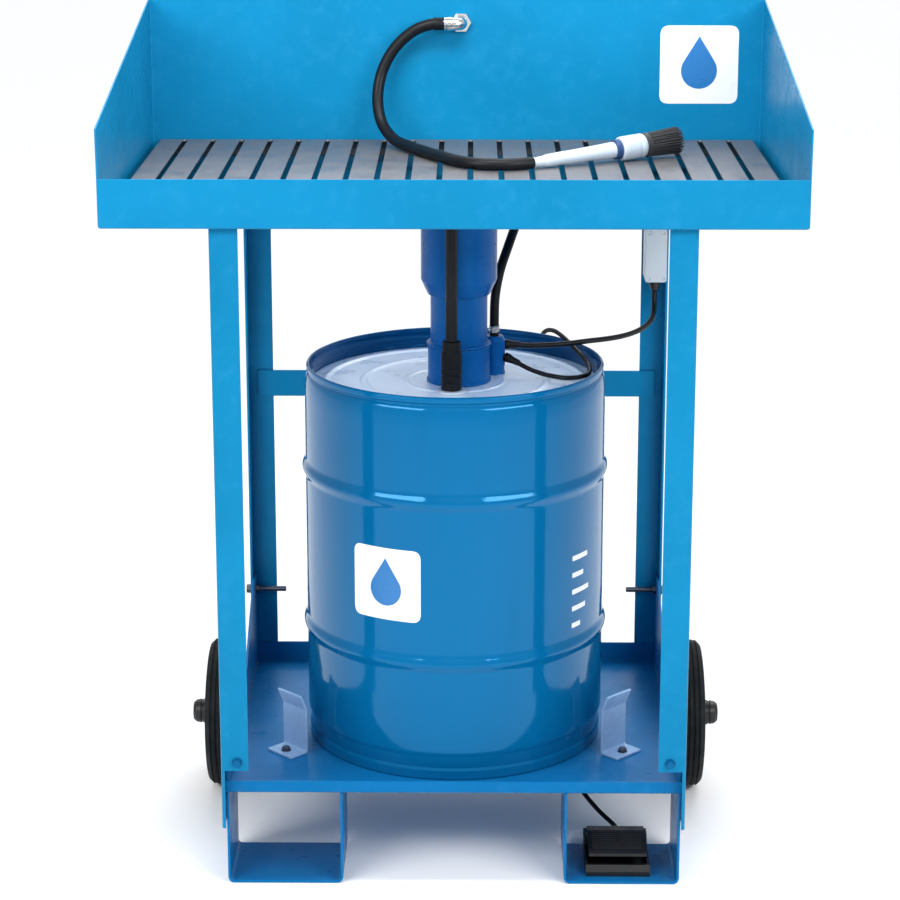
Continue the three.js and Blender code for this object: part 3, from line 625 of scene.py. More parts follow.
def weld(name, points, radius=1.8):
    """A weld bead along a line, with a ripple every few millimetres."""
    line = [Vector(p) for p in points]
    step = 0.8
    steps = []
    for a, b in zip(line, line[1:]):
        count = max(2, round((b - a).length / step))
        steps += [a.lerp(b, k / count) for k in range(count)]
    steps.append(line[-1])
    bead = swept(steps, lambda along: radius * (0.86 + 0.14 * abs(math.sin(along * 1.4))), 8)
    piece(name, bead, "blue_paint")


# ---------------- hoses and cables
# Each route repeats the CAD route: millimetres from the drum's axis.
WASH_HOSE = {"diameter": 15.0, "route": [
    (-16.6, 237, 1014), (-30, 237, 1014), (-54, 237, 1006), (-80, 236, 984), (-98, 232, 952),
    (-104, 223, 916), (-98, 207, 887), (-82, 181, 870), (-60, 142, 866), (-38, 101, 865.8),
    (-18, 65, 865.8), (0.4, 34.2, 865.8), (21.1, 13.5, 865.8), (42, 5, 865.8), (64.5, 4.2, 865.8),
    (86, 11.2, 865.8), (96.7, 16.8, 865.8)]}
SUPPLY_HOSE = {"diameter": 12.0, "route": [
    (50, 36, 640.3), (50, 36, 662), (51, 37, 690), (57, 44, 722), (68, 62, 752), (79, 94, 776),
    (87, 136, 788), (90, 182, 793), (89, 222, 796), (85, 247, 804), (80, 264, 820), (74, 273, 842),
    (64, 276, 868), (48, 276, 896), (32, 276, 922), (18, 275.8, 948), (9, 275.5, 968), (6, 275.5, 982),
    (6, 275.5, 991.7)]}
PUMP_CABLE = {"diameter": 7.0, "route": [
    (65.3, 40, 627), (74, 43, 626), (96, 50, 623), (122, 60, 621.5), (148, 69, 621.5), (172, 78, 622.5),
    (196, 92, 622), (218, 112, 621), (238, 138, 621), (251, 161, 622.5), (260, 180, 626.5),
    (264.5, 195, 632.5), (266, 205.5, 643.5), (266.25, 210, 657), (266.25, 210, 661.4)]}
PEDAL_CABLE = {"diameter": 6.0, "route": [
    (66.3, 30, 612), (77, 25, 608), (93, 15, 601.5), (112, 2.5, 597.5), (131.2, -9.8, 596.5),
    (142.7, -13.7, 596.5), (156, -11.4, 596.8), (167.5, -0.8, 597.3), (171, 12.2, 598), (171, 36, 601),
    (164, 63, 606), (152, 90, 613), (140, 114, 620), (129, 136, 622.5), (119, 156, 617),
    (112, 170, 602), (109, 176.5, 578), (108.5, 177.5, 545), (108.5, 177.5, 460), (108.5, 177.5, 370),
    (108.5, 177.5, 280), (108.5, 177.5, 190), (108.5, 177.5, 132), (108.5, 177.5, 112), (109, 174, 93),
    (112, 161, 77), (117, 138, 68), (124, 106, 66), (133, 60, 66), (146, 10, 64), (158, -30, 56),
    (172, -56, 45), (188, -73, 32), (201, -84, 23.5), (207, -94, 21), (208, -102, 21),
    (208, -105.7, 21)]}


def curve_cord(name, node, cord):
    """A cable as one curve of the cable's own diameter."""
    line = smooth_route(cord["route"])
    data = bpy.data.curves.new(name, "CURVE")
    data.dimensions, data.bevel_depth, data.bevel_resolution = "3D", cord["diameter"] / 2 * MM, 5
    data.use_fill_caps = True
    spline = data.splines.new("POLY")
    spline.points.add(len(line) - 1)
    for point, place in zip(spline.points, line):
        point.co = (*metres(place), 1)
    spline.use_smooth = True
    made = bpy.data.objects.new(name, data)
    scene.collection.objects.link(made)
    dress(made, "hose_rubber", node)


def make_cords():
    """The wash hose runs between the back wall and the brush, baked in place. The other three lie still on
    the washer.
    """
    line = smooth_route(WASH_HOSE["route"])
    tube = to_object("wash_hose_rubber", swept(line, WASH_HOSE["diameter"] / 2))
    hose = dress(tube, "hose_rubber", "wash_hose", body=None)
    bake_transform(hose)
    curve_cord("supply_hose_rubber", "supply_hose", SUPPLY_HOSE)
    curve_cord("pump_cable_rubber", "pump_cable", PUMP_CABLE)
    curve_cord("pedal_cable_rubber", "pedal_cable", PEDAL_CABLE)


# ---------------- wash tray and grate
def wash_tray():
    """A tray folded from one sheet, with a hole for the drain and one for the bulkhead fitting."""
    x, front, rear = TRAY_HIGH.x, TRAY_LOW.y, TRAY["back"]
    low, lip, corner, top = TRAY_LOW.z, TRAY["lip"], TRAY["corner"], TRAY_HIGH.z

    def side(sign):
        outline = [(front, low), (rear, low), (rear, top), (front, corner), (front, lip)]
        return [(sign * x, y, z) for y, z in outline]

    faces = [
        [(-x, front, low), (x, front, low), (x, rear, low), (-x, rear, low)],
        [(-x, front, low), (x, front, low), (x, front, lip), (-x, front, lip)],
        [(-x, rear, low), (x, rear, low), (x, rear, top), (-x, rear, top)],
        side(1), side(-1)]
    tray = to_object("tray_sheet", folded(faces, (0, 0, lip), TRAY["wall"], 1.5))
    drain = put(rod(DRAIN["tray_hole"], -20, 20, 64), standing(DRAIN["x"], 0, low))
    at_elbow = pointing((0, 1, 0), (BULKHEAD["x"], rear, BULKHEAD["z"]))
    carve(tray, drain, put(rod(BULKHEAD["tray_hole"], -20, 20), at_elbow))
    dress(tray, "blue_paint", "wash_tray", edge=0.45)


def slotted_grate():
    """A plate with its four edges folded down, and rows of slots with round ends."""
    x, y, low, top = GRATE_HIGH.x, GRATE_HIGH.y, GRATE_LOW.z, GRATE_HIGH.z
    ring = rectangle(-x, -y, x, y)
    faces = [[(u, v, top) for u, v in ring]]
    faces += [[(*a, low), (*b, low), (*b, top), (*a, top)] for a, b in zip(ring, ring[1:] + ring[:1])]
    grate = to_object("grate_plate", folded(faces, (0, 0, low), GRATE["plate"], 1.0))
    half = GRATE["width"] / 2
    end = y - GRATE["border"] - half
    slots = []
    for i in range(GRATE["slots"]):
        middle = (i + 1 - (GRATE["slots"] + 1) / 2) * GRATE["pitch"]
        arc = [(half * math.cos(math.pi * k / 8), half * math.sin(math.pi * k / 8)) for k in range(9)]
        outline = [(middle + u, end + v) for u, v in arc] + [(middle - u, -end - v) for u, v in arc]
        slots.append(extruded(outline, "Z", (top - 6, top + 6)))
    carve(grate, merged(*slots))
    dress(grate, "grate_steel", "grate", edge=0.5)


# ---------------- frame
def frame_legs():
    """Four angles. Low down, the front ones have no front flange, which leaves room for the pan's lip."""
    outer, flange, top = LEG["outer"], LEG["flange"], TRAY_LOW.z - GAP
    front, rear = LEG["front"], LEG["rear"]
    for side, sign in SIDES:
        corner = [(outer - flange, front), (outer, front), (outer, front + flange)]
        angle = extruded(strip(corner, SHEET, 1.5), "Z", (box("front_leg_right")[0].z, top))
        leg = to_object(f"front_angle_{side}", mirrored(angle, sign))
        notch = block((0, front - 5, 0), (flange + 0.4, front + SHEET + 0.1, LEG["cut"]))
        carve(leg, mirrored(put(notch, standing(outer - flange - 5, 0)), sign))
        dress(leg, "blue_paint", f"front_leg_{side}", edge=0.5)
        corner = [(outer, rear - flange), (outer, rear), (outer - flange, rear)]
        angle = extruded(strip(corner, SHEET, 1.5), "Z", (PAN_LOW.z, top))
        piece(f"rear_angle_{side}", mirrored(angle, sign), "blue_paint", f"rear_leg_{side}", edge=0.5)


def rails_and_crossbar():
    """Two angles under the tray's sides, and the bar between the rear legs."""
    low, high = box("tray_rail_right")
    line = [(high.x, low.z), (high.x, high.z), (low.x, high.z)]
    for side, sign in SIDES:
        rail = extruded(strip(line, SHEET, 1.5), "Y", (low.y, high.y))
        piece(f"rail_angle_{side}", mirrored(rail, sign), "blue_paint", f"tray_rail_{side}", edge=0.5)
    keep("rear_crossbar", "blue_paint", 0.6)


def base_pan():
    """A sheet with a front lip and a rear upstand, notched for the side plates and bored for the cable."""
    half, front, rear = PAN["plate"], PAN_LOW.y, PAN["rear"]
    line = [(front, PAN["lip"]), (front, PAN_LOW.z), (rear, PAN_LOW.z), (rear, PAN_HIGH.z)]
    pan = to_object("pan_sheet", extruded(strip(line, SHEET, 1.2), "X", (-half, half)))
    notches = [mirrored(block((half - SHEET - GAP, front + SHEET, 100), (half + 5, rear + 5, 200)), sign)
               for _, sign in SIDES]
    middle = middle_of("pan_grommet")
    grommet = put(rod(GROMMET["hole"], -20, 20), standing(middle.x, middle.y, PAN_LOW.z))
    carve(pan, *notches, grommet)
    # The pan's darker blue is painted shade under the tray.
    dress(pan, "blue_paint", "base_pan", edge=0.5, look=SHADED_PAN_PAINT)


def side_plates():
    """A plate between the legs, stepped round the axle's boss, with a tab folded in at the front."""
    outer, front, rear, low = PAN["plate"], PAN_LOW.y + SHEET + GAP, PAN["rear"], PAN_LOW.z
    axle, boss, boss_low = AXLE["y"], SIDE["boss"], AXLE["z"] - 18
    shelf, tab_top, top = SIDE["shelf"], SIDE["tab"], SIDE["top"]
    shape = [(front, low), (axle - boss - 14, low), (axle - boss, boss_low), (axle + boss, boss_low),
             (axle + boss + 14, low), (rear, low), (rear, top), (rear - 38, top), (rear - 190, shelf),
             (front + 40, shelf), (front, tab_top), (front, shelf - 8)]
    inner = outer - SIDE["tab_width"]
    tab = [(outer, front, shelf - 8), (outer, front, tab_top), (inner, front, tab_top),
           (inner, front, shelf - 8)]
    for side, sign in SIDES:
        plate = folded([[(outer, y, z) for y, z in shape], tab], (0, 100, 200), SHEET, 1.0)
        made = to_object(f"gusset_plate_{side}", mirrored(plate, sign))
        at_axle = pointing((1, 0, 0), (sign * outer, axle, AXLE["z"]))
        carve(made, put(rod(AXLE["bore"], -20, 20, 48), at_axle))
        # The side plate's darker blue is painted shade under the tray.
        dress(made, "blue_paint", f"side_plate_{side}", edge=0.5, look=SHADED_PAN_PAINT)


def front_feet():
    """Two U-shaped strips under the pan's front."""
    low, high = FOOT_LOW, FOOT_HIGH
    line = [(low.x, high.z), (low.x, 0), (high.x, 0), (high.x, high.z)]
    for side, sign in SIDES:
        foot = mirrored(extruded(strip(line, SHEET, 6), "Y", (low.y, high.y)), sign)
        # The foot's darker blue is painted shade under the pan.
        piece(f"foot_strip_{side}", foot, "blue_paint", f"front_foot_{side}", edge=0.5, look=SHADED_PAN_PAINT)


def guide_brackets():
    """Two bent plates that keep the drum in place, each with a pressed rib up its middle."""
    low, half, height = PAN_LOW.z + SHEET + GAP, GUIDE["width"] / 2, GUIDE["height"]
    line = [(-GUIDE["tab"], low), (0, low), (0, low + height - 20), (-9, low + height)]
    rib_line = [(0, -0.2, low + 14), (0, 0.6, low + 20), (0, 0.6, low + 50), (0, -0.2, low + 56)]
    place = standing(GUIDE["x"], GUIDE["y"]) @ Matrix.Rotation(GUIDE["turn"], 4, "Z")
    for side, sign in SIDES:
        plate = extruded(strip(line, SHEET, 2.5), "X", (-half, half))
        bracket = mirrored(put(merged(plate, swept(rib_line, 3.2, 16)), place), sign)
        # The brackets' paler blue is painted highlight on the frame's blue paint.
        piece(f"guide_plate_{side}", bracket, "blue_paint", f"guide_bracket_{side}", edge=0.5,
              look=LIT_BRACKET_PAINT)


# ---------------- fasteners
def hex_outline(radius):
    """A hexagon with its corners at this radius."""
    return [(radius * math.cos(a), radius * math.sin(a)) for a in around(6)]


def hex_bolt(head, depth, radius, length, nut_at):
    """A hexagon bolt along +Z: chamfered head below the origin, a washer, a threaded shank and a nut."""
    flat, chamfer = head * 0.82, head * 0.86
    crown = lathed([(0, -depth - 0.6), (flat, -depth - 0.6), (chamfer, -depth + 0.1), (0, -depth + 0.1)],
                   0.2, 32)
    washer = ringed(rectangle(radius, 0, head * 1.25, 1), 0.2, 40)
    pitch = 0.9
    thread = [(0, 0.1)]
    for k in range(int((length - 1) / pitch)):
        thread += [(radius - 0.35, 0.5 + k * pitch), (radius, 0.5 + (k + 0.5) * pitch)]
    thread += [(radius - 0.4, length - 0.4), (radius - 1, length), (0, length)]
    sides = [extruded(hex_outline(head), "Z", span) for span in ((-depth, 0), (nut_at, nut_at + depth))]
    return merged(sides[0], crown, washer, turned(thread, 24), sides[1])


def fasteners():
    """The front legs' bolts, the rear legs' studs and the guide brackets' bolts."""
    bolt_x = LEG["outer"] - LEG["flange"] / 2 - 3
    small, large = {"head": 5.2, "depth": 4, "radius": 3}, {"head": 6.2, "depth": 5, "radius": 3.8}
    for side, sign in SIDES:
        low, high = box(f"front_leg_bolt_{side}")
        reach = high.y - low.y - small["depth"]
        bolt = put(hex_bolt(**small, length=reach, nut_at=reach - 8),
                   pointing((0, 1, 0), (sign * bolt_x, low.y + small["depth"], (low.z + high.z) / 2)))
        piece(f"leg_screw_{side}", bolt, "zinc", f"front_leg_bolt_{side}", edge=0.25, look=BOLT_PAINT)
        low, high = box(f"rear_leg_bolt_{side}")
        outside = (high.x if sign > 0 else -low.x) - large["depth"]
        stud = put(hex_bolt(**large, length=high.x - low.x - large["depth"], nut_at=7.5),
                   pointing((-sign, 0, 0), (sign * outside, (low.y + high.y) / 2, (low.z + high.z) / 2)))
        piece(f"leg_stud_{side}", stud, "zinc", f"rear_leg_bolt_{side}", edge=0.25, look=DARK_ZINC)
        low, high = box(f"guide_bolt_{side}")
        reach = high.z - low.z - small["depth"]
        middle = middle_of(f"guide_bolt_{side}")
        screw = put(hex_bolt(**small, length=reach, nut_at=reach - 5),
                    pointing((0, 0, -1), (middle.x, middle.y, high.z - small["depth"])))
        piece(f"guide_screw_{side}", screw, "zinc", f"guide_bolt_{side}", edge=0.25, look=DARK_ZINC)


def weld_beads():
    """Beads where the crossbar, legs, feet and drain sleeve meet the sheets."""
    top, outer, flange = TRAY_LOW.z - 1.0, LEG["outer"], LEG["flange"]
    front, rear = LEG["front"], LEG["rear"]
    bar_low, bar_high = box("rear_crossbar")
    bar_x, bar_y = bar_high.x, bar_high.y - 0.3
    foot_top = FOOT_HIGH.z - 0.3
    for side, sign in SIDES:
        def bead(name, start, end, radius=1.8):
            weld(f"weld_{name}_{side}", [(sign * x, y, z) for x, y, z in (start, end)], radius)

        bead("crossbar", (bar_x, bar_y, bar_low.z + 1), (bar_x, bar_y, bar_high.z - 1), 2.2)
        bead("front_leg", (outer - flange, front, top), (outer - 2, front, top))
        bead("rear_leg", (outer, rear - flange, top), (outer, rear - 2, top))
        for name, x in (("foot_inner", FOOT_LOW.x), ("foot_outer", FOOT_HIGH.x)):
            bead(name, (x, FOOT_LOW.y + 2, foot_top), (x, FOOT_HIGH.y - 2, foot_top))
    ring = [2 * math.pi * k / 60 for k in range(61)]
    radius = DRAIN["weld"]
    weld("weld_drain", [(DRAIN["x"] + radius * math.cos(a), radius * math.sin(a), top) for a in ring])


# ---------------- wheels
def axle_and_wheels():
    """The rod runs through both side plates, with a collar between each plate and its wheel."""
    half, radius = AXLE["half"], AXLE["radius"]
    collar, shoulder, inner = radius + 5, PAN["plate"] + SHEET + 0.8, WHEEL["inner"] - GAP
    profile = [(0, -half), (radius - 1, -half), (radius, -half + 1), (radius, -inner), (collar, -inner),
               (collar, -shoulder), (radius, -shoulder)]
    profile += [(r, -x) for r, x in profile[::-1]]
    middle = (0, AXLE["y"], AXLE["z"])
    piece("axle_rod", put(lathed(profile, 0.6, 48), pointing((1, 0, 0), middle)), "zinc", "axle")
    for side, sign in SIDES:
        outward = pointing((sign, 0, 0), middle)
        body = f"wheel_{side}"
        piece(f"tyre_tread_{side}", put(tyre(), outward), "tyre_rubber", f"tyre_{side}", body)
        centre = put(wheel_centre(), outward)
        piece(f"wheel_centre_{side}", centre, "black_plastic", f"wheel_rim_{side}", body, edge=0.5)
        piece(f"hub_cap_dome_{side}", put(hub_cap(), outward), "black_plastic", f"hub_cap_{side}", body)


def tyre():
    """A solid tyre with four grooves round its tread and a ribbed side wall."""
    inner, outer, radius, seat = WHEEL["inner"], WHEEL["outer"], WHEEL["radius"], WHEEL["rim"] + GAP
    tread = []
    for offset in (-10.5, -3.5, 3.5, 10.5):
        groove = (inner + outer) / 2 + offset
        tread += [(radius, groove - 1.4), (radius - 1.8, groove - 0.8), (radius - 1.8, groove + 0.8),
                  (radius, groove + 1.4)]
    wall = [(seat, inner + 3), (seat + 4, inner + 1.6), (seat + 6, inner + 2.6), (seat + 8, inner + 1.4),
            (radius - 14, inner), (radius - 6, inner + 1), (radius - 1, inner + 6)]
    back = [(r, inner + outer - x) for r, x in wall[::-1]]
    return ringed(wall + tread + back, 1.2, 128, 3)


def wheel_centre():
    """A hub and a rim joined by a web, with ten ribs on each face of the web."""
    inner, outer, rim, bore, hub = WHEEL["inner"], WHEEL["outer"], WHEEL["rim"], AXLE["bore"], 24.0
    web_in, web_out = inner + 14, outer - 14
    profile = [(bore, inner), (hub - 2, inner), (hub, inner + 3), (hub + 1, web_in), (rim - 10, web_in),
               (rim - 6, inner + 5), (rim - 4, inner + 4), (rim, inner + 4), (rim, outer - 4),
               (rim - 4, outer - 4), (rim - 6, outer - 5), (rim - 10, web_out), (hub + 1, web_out),
               (hub, outer + 1), (hub - 2, outer + 4), (bore, outer + 4)]
    parts = [ringed(profile, 1.5, 96, 3)]
    for angle in around(10):
        for low, high in ((inner + 7, web_in + 1), (web_out - 1, outer - 7)):
            rib = extruded(rectangle(hub - 1, low, rim - 7, high), "Y", (-1.6, 1.6))
            parts.append(put(rib, Matrix.Rotation(angle, 4, "Z")))
    return merged(*parts)


def hub_cap():
    """A domed cap over the axle's end, with a groove round its side."""
    base, cap, radius = WHEEL["outer"] + 4 + GAP, WHEEL["cap"], WHEEL["cap_radius"]
    end, bore = AXLE["half"] + GAP, AXLE["bore"]
    profile = [(0, end), (bore, end), (bore, base), (radius - 1, base), (radius, base + 1.5),
               (radius, base + 5), (radius - 1.2, base + 6), (radius - 1.2, base + 7.5),
               (radius - 0.4, base + 8.5), (radius - 1.5, cap - 5), (radius - 5, cap - 1), (5, cap - 0.2),
               (0, cap)]
    return lathed(profile, 1.0)


# ---------------- drum
def swell(height):
    """A rolling hoop: a smooth wave in the drum's wall."""
    rise = (DRUM["hoop"] - DRUM["radius"]) * 0.5
    return [(DRUM["radius"] + rise * (1 + math.cos(math.pi * k / 8)), height + 13 * k / 8)
            for k in range(-8, 9)]


def drum():
    """The wall with its base chime, hoops, round shoulder and rim, and its inner face darkened as painted
    shade.
    """
    radius, rim, inside = DRUM["radius"], DRUM["rim"], DRUM["radius"] - DRUM["wall"]
    floor, top = drum_low.z, drum_high.z
    ledge, shelf = LID["radius"] + 0.9, LID["low"] - GAP
    chime = filleted([(radius - 8, floor + 4), (radius - 8, floor), (radius - 2, floor),
                      (radius - 2, floor + 12), (radius - 3.5, floor + 16), (radius - 3.5, floor + 30),
                      (radius, floor + 38)], 2.0)
    depth, start, rise = radius - rim + 3, top - 37, 25
    shoulder = [(radius - depth * (1 - math.cos(t)), start + rise * math.sin(t))
                for t in (math.radians(9 * k) for k in range(10))]
    shoulder += filleted([(rim - 3, top - 11.5), (rim - 3, top - 10), (rim, top - 7), (rim, top - 2),
                          (rim - 2, top), (rim - 4, top - 1), (ledge, top - 5), (ledge, shelf),
                          (ledge - 5, shelf), (ledge - 5, shelf - 2.5), (inside, shelf - 7)], 2.2, 5)
    split = next(i for i, (r, z) in enumerate(shoulder) if i and z > top - 4 and r < rim - 3.5)
    rolled, lining = shoulder[:split], shoulder[split - 1:]
    seam_r, seam_z = lining[0]
    profile = chime + [point for height in DRUM["hoops"] for point in swell(height)] + rolled
    profile += [(seam_r, seam_z - 1.2), (rim - 4, top - 8), (rim - 4, top - 15), (radius - 2, top - 26),
                (radius - 1.2, floor + 40), (radius - 3.3, floor + 34), (radius - 3.3, floor + 10)]
    wall = turned(profile, 144, True)
    raise_seam(wall, math.radians(128), floor + 42, top - 44, 0.7)
    piece("drum_wall", wall, "drum_paint", "drum_shell", smooth=50)
    lining += [(inside, floor + 44), (inside - 2, floor + 36), (inside - 2, floor + 10),
               (radius - 3.9, floor + 12), (radius - 3.9, floor + 33), (radius - 1.8, floor + 41),
               (radius - 2.3, top - 30), (rim - 4.8, top - 16), (rim - 4.8, top - 9), (seam_r, seam_z - 1.2)]
    # The inner face takes the darker enamel as painted shade inside the drum.
    piece("drum_inside_painted_shade", turned(lining, 128, True), "drum_paint", look=SHADED_INNER_ENAMEL, smooth=50)
    keep("drum_base", "drum_paint", 0.5)


def raise_seam(bm, azimuth, low, high, height):
    """Lifts one column of the wall's outer points into the drum's long weld seam."""
    for vertex in bm.verts:
        reach = vertex.co.xy.length
        if reach < DRUM["radius"] - 0.5 or not low < vertex.co.z < high:
            continue
        off = (math.atan2(vertex.co.y, vertex.co.x) - azimuth + math.pi) % (2 * math.pi) - math.pi
        if abs(off) < math.radians(1.3):
            vertex.co.xy *= (reach + height) / reach


def drum_lid():
    """A pressed lid with three raised rings, bored for the drain tube, the pump and the riser."""
    low, top, radius = LID["low"], LID["top"], LID["radius"]
    face = [(0, top)]
    for middle, width, rise in ((62, 10, 1.2), (116, 12, 2.2), (164, 13, 2.5)):
        face += [(middle + width * (k / 8 - 0.5), top + rise * math.sin(math.pi * k / 8)) for k in range(9)]
    face += [(radius - 3, top), (radius, top - 0.8), (radius, low), (0, low)]
    lid = to_object("lid_pressing", turned(face, 128))
    holes = [((DRAIN["x"], 0), DRAIN["lid_hole"]), (PUMP, PUMP_HOLE), (RISER, RISER_HOLE)]
    carve(lid, *[put(rod(hole, low - 10, top + 10, 64), standing(*place)) for place, hole in holes])
    dress(lid, "lid_paint", "drum_lid", edge=0.3)


# ---------------- drain, riser and pump
def drain_column():
    """The tapered sleeve under the tray, the tube that slides up into it, and the collar on the lid."""
    at_drain = standing(DRAIN["x"], 0)
    radius, neck = DRAIN["sleeve"], DRAIN["neck"]
    low, high = box("drain_sleeve")
    taper = low.z + 19
    sleeve = [(neck, low.z), (neck + 2.6, low.z), (radius, taper), (radius, high.z - 3),
              (radius + 5, high.z - 3), (radius + 5, high.z), (radius - 3, high.z), (radius - 3, taper + 1),
              (neck, low.z + 4)]
    # The column's deep blue is partly painted shade under the tray.
    piece("drain_sleeve_tube", put(ringed(sleeve, 3, 96, 5), at_drain), "column_paint", "drain_sleeve")
    low, high = box("drain_tube")
    radius, bore, bead = TUBE["radius"], TUBE["bore"], TUBE["bead"]
    tube = [(bore, low.z), (radius, low.z), (radius, bead - 2), (radius + 2.5, bead - 2),
            (radius + 5, bead - 1), (radius + 5, bead + 1), (radius + 2.5, bead + 2), (radius, bead + 2),
            (radius, high.z), (bore, high.z)]
    piece("drain_slide_tube", put(ringed(tube, 1.0, 96), at_drain), "column_paint", "drain_tube", "drain")
    low, high = box("lid_collar")
    collar = [(neck, low.z), (neck + 4, low.z), (neck + 4, low.z + 3), (neck + 2.4, low.z + 5),
              (neck + 2.4, high.z), (neck, high.z)]
    piece("collar_ring", put(ringed(collar, 0.8, 96), at_drain), "column_paint", "lid_collar")


def riser_pipe():
    """A black pipe in a ribbed sleeve, which stands on the lid in a white sealing ring."""
    at_riser = standing(*RISER)
    low, high = box("riser_tube")
    pipe = [(0, low.z), (7.5, low.z), (7.5, high.z), (0, high.z)]
    piece("riser_hose", put(lathed(pipe, 0.5, 48), at_riser), "hose_rubber", "riser_tube")
    low, high = box("riser_coupling")
    ring_low, ring_high = box("riser_ring")
    sleeve = [(0, low.z), (7.5, low.z), (7.5, ring_high.z + GAP), (13, ring_high.z + GAP)]
    for k in range(3):
        z = ring_high.z + 8 + 9 * k
        sleeve += [(13, z), (12.2, z + 0.8), (12.2, z + 2.2), (13, z + 3)]
    sleeve += [(13, high.z - 14), (11.5, high.z - 12), (11.5, high.z), (0, high.z)]
    piece("riser_sleeve", put(lathed(sleeve, 0.5, 64, 3), at_riser), "hose_rubber", "riser_coupling")
    low, high = ring_low.z, ring_high.z
    ring = [(8, low), (19, low), (19, high - 0.6), (18, high), (14, high), (8, high)]
    piece("riser_seal", put(ringed(ring, 0.6), at_riser), "white_plastic", "riser_ring")


def hose_clip(name, place, direction, radius):
    """A worm-drive clip: a ribbed band, its screw housing and the screw's slotted head."""
    edge, waist = radius + 0.9, radius + 0.6
    hoop = ringed([(radius, -4), (edge, -4), (edge, -3), (waist, -2.6), (waist, 2.6), (edge, 3), (edge, 4),
                   (radius, 4)], 0.2, 64, 2)
    shape = filleted([(-5, radius), (5, radius), (4, radius + 4.6), (-4, radius + 4.6)], 1.6, 3, True)
    housing = extruded(shape, "Z", (-3.6, 3.6))
    head = [(0, 5), (2.3, 5), (2.3, 8.4), (0, 8.4)]
    screw = put(lathed(head, 0.4, 24), pointing((1, 0, 0), (0, radius + 2.6, 0)))
    piece(name, put(merged(hoop, housing, screw), pointing(direction, place)), "zinc", edge=0.2)


def pump():
    """The pump's column and head on the lid, its body and strainer in the drum, and the cables' boots."""
    low, high = box("pump_column")
    top, lid_top = high.z, LID["top"] + GAP
    head = [(0, low.z), (9, low.z), (9, lid_top), (14, lid_top), (14, lid_top + 3), (13.2, lid_top + 4),
            (13.2, lid_top + 10), (14, lid_top + 11), (14, top - 6), (12, top - 2), (11, top), (0, top)]
    piece("pump_pipe", put(lathed(head, 0.8), standing(*PUMP)), "column_paint", "pump_column")
    keep("pump_body", "black_plastic", 0.8)
    keep("pump_strainer", "zinc", 0.4)
    hose_clip("pump_hose_clip", (*PUMP, top + 9), (0, 0, 1), SUPPLY_HOSE["diameter"] / 2)
    for name, cord in (("pump_cable_boot", PUMP_CABLE), ("pedal_cable_boot", PEDAL_CABLE)):
        line = smooth_route(cord["route"])
        r = cord["diameter"] / 2
        boot = lathed([(0, -3), (r + 3, -3), (r + 3, 2), (r + 1.6, 8), (r + 0.8, 18), (0, 18)], 0.6, 32)
        piece(name, put(boot, pointing(line[3] - line[0], line[0])), "hose_rubber")


# ---------------- bulkhead fitting
def bulkhead_fitting():
    """Two elbows at the back wall: the inner one turns to the left, and the outer one down to the pump."""
    x, z, r, reach = BULKHEAD["x"], BULKHEAD["z"], BULKHEAD["radius"], BULKHEAD["reach"]
    front, rear, back = BULKHEAD["front"], BULKHEAD["rear"], TRAY["back"]
    wall = back - TRAY["wall"] - GAP
    left, down = (-1, 0, 0), (0, 0, -1)
    parts = []
    for outlet, from_y, side in ((left, front, 1), (down, rear, -1)):
        corner, way = Vector((x, from_y, z)), Vector(outlet)
        start, end = corner + Vector((0, side, 0)) * BULKHEAD["bend"], corner + way * BULKHEAD["bend"]
        arc = [bent(start, corner, end, k / 12) for k in range(13)]
        parts.append(swept([(x, wall, z), *arc, corner + way * reach], r * 0.92, 32))
    parts.append(put(extruded(hex_outline(r * 1.42), "Z", (0, 5)), pointing((0, -1, 0), (x, wall, z))))
    for outlet, start in ((left, (x - 12, front, z)), (down, (x, rear, z - 12))):
        collar = lathed([(0, 0), (r, 0), (r, 6), (r * 0.94, 7), (0, 7)], 0.5, 48)
        parts.append(put(collar, pointing(outlet, start)))
    piece("bulkhead_elbows", merged(*parts), "bright_metal", "bulkhead_elbow", edge=0.3)
    nut = extruded(hex_outline(r * 1.42 * 1.04), "Z", (0, 6.4))
    made = to_object("bulkhead_lock_nut", put(nut, pointing((0, 1, 0), (x, back + GAP, z))))
    carve(made, put(rod(BULKHEAD["nut_bore"], -5, 12, 48), pointing((0, 1, 0), (x, back, z))))
    dress(made, "bright_metal", "bulkhead_nut", edge=0.4)
    hose_end(pointing(left, (x - reach - 0.4, front, z)))
    hose_clip("supply_hose_clip", (x, rear, z - reach - 9), down, SUPPLY_HOSE["diameter"] / 2)


def hose_end(place):
    """A crimped ferrule with three ribs on the wash hose's end."""
    radius = WASH_HOSE["diameter"] / 2
    profile = [(radius, 0), (radius + 1.3, 0), (radius + 1.3, 2)]
    for z in (3, 6, 9):
        profile += [(radius + 0.7, z), (radius + 0.7, z + 1), (radius + 1.3, z + 2)]
    profile += [(radius + 1.3, 13), (radius, 13)]
    piece("wash_hose_ferrule", put(ringed(profile, 0.3, 64, 2), place), "hose_rubber")


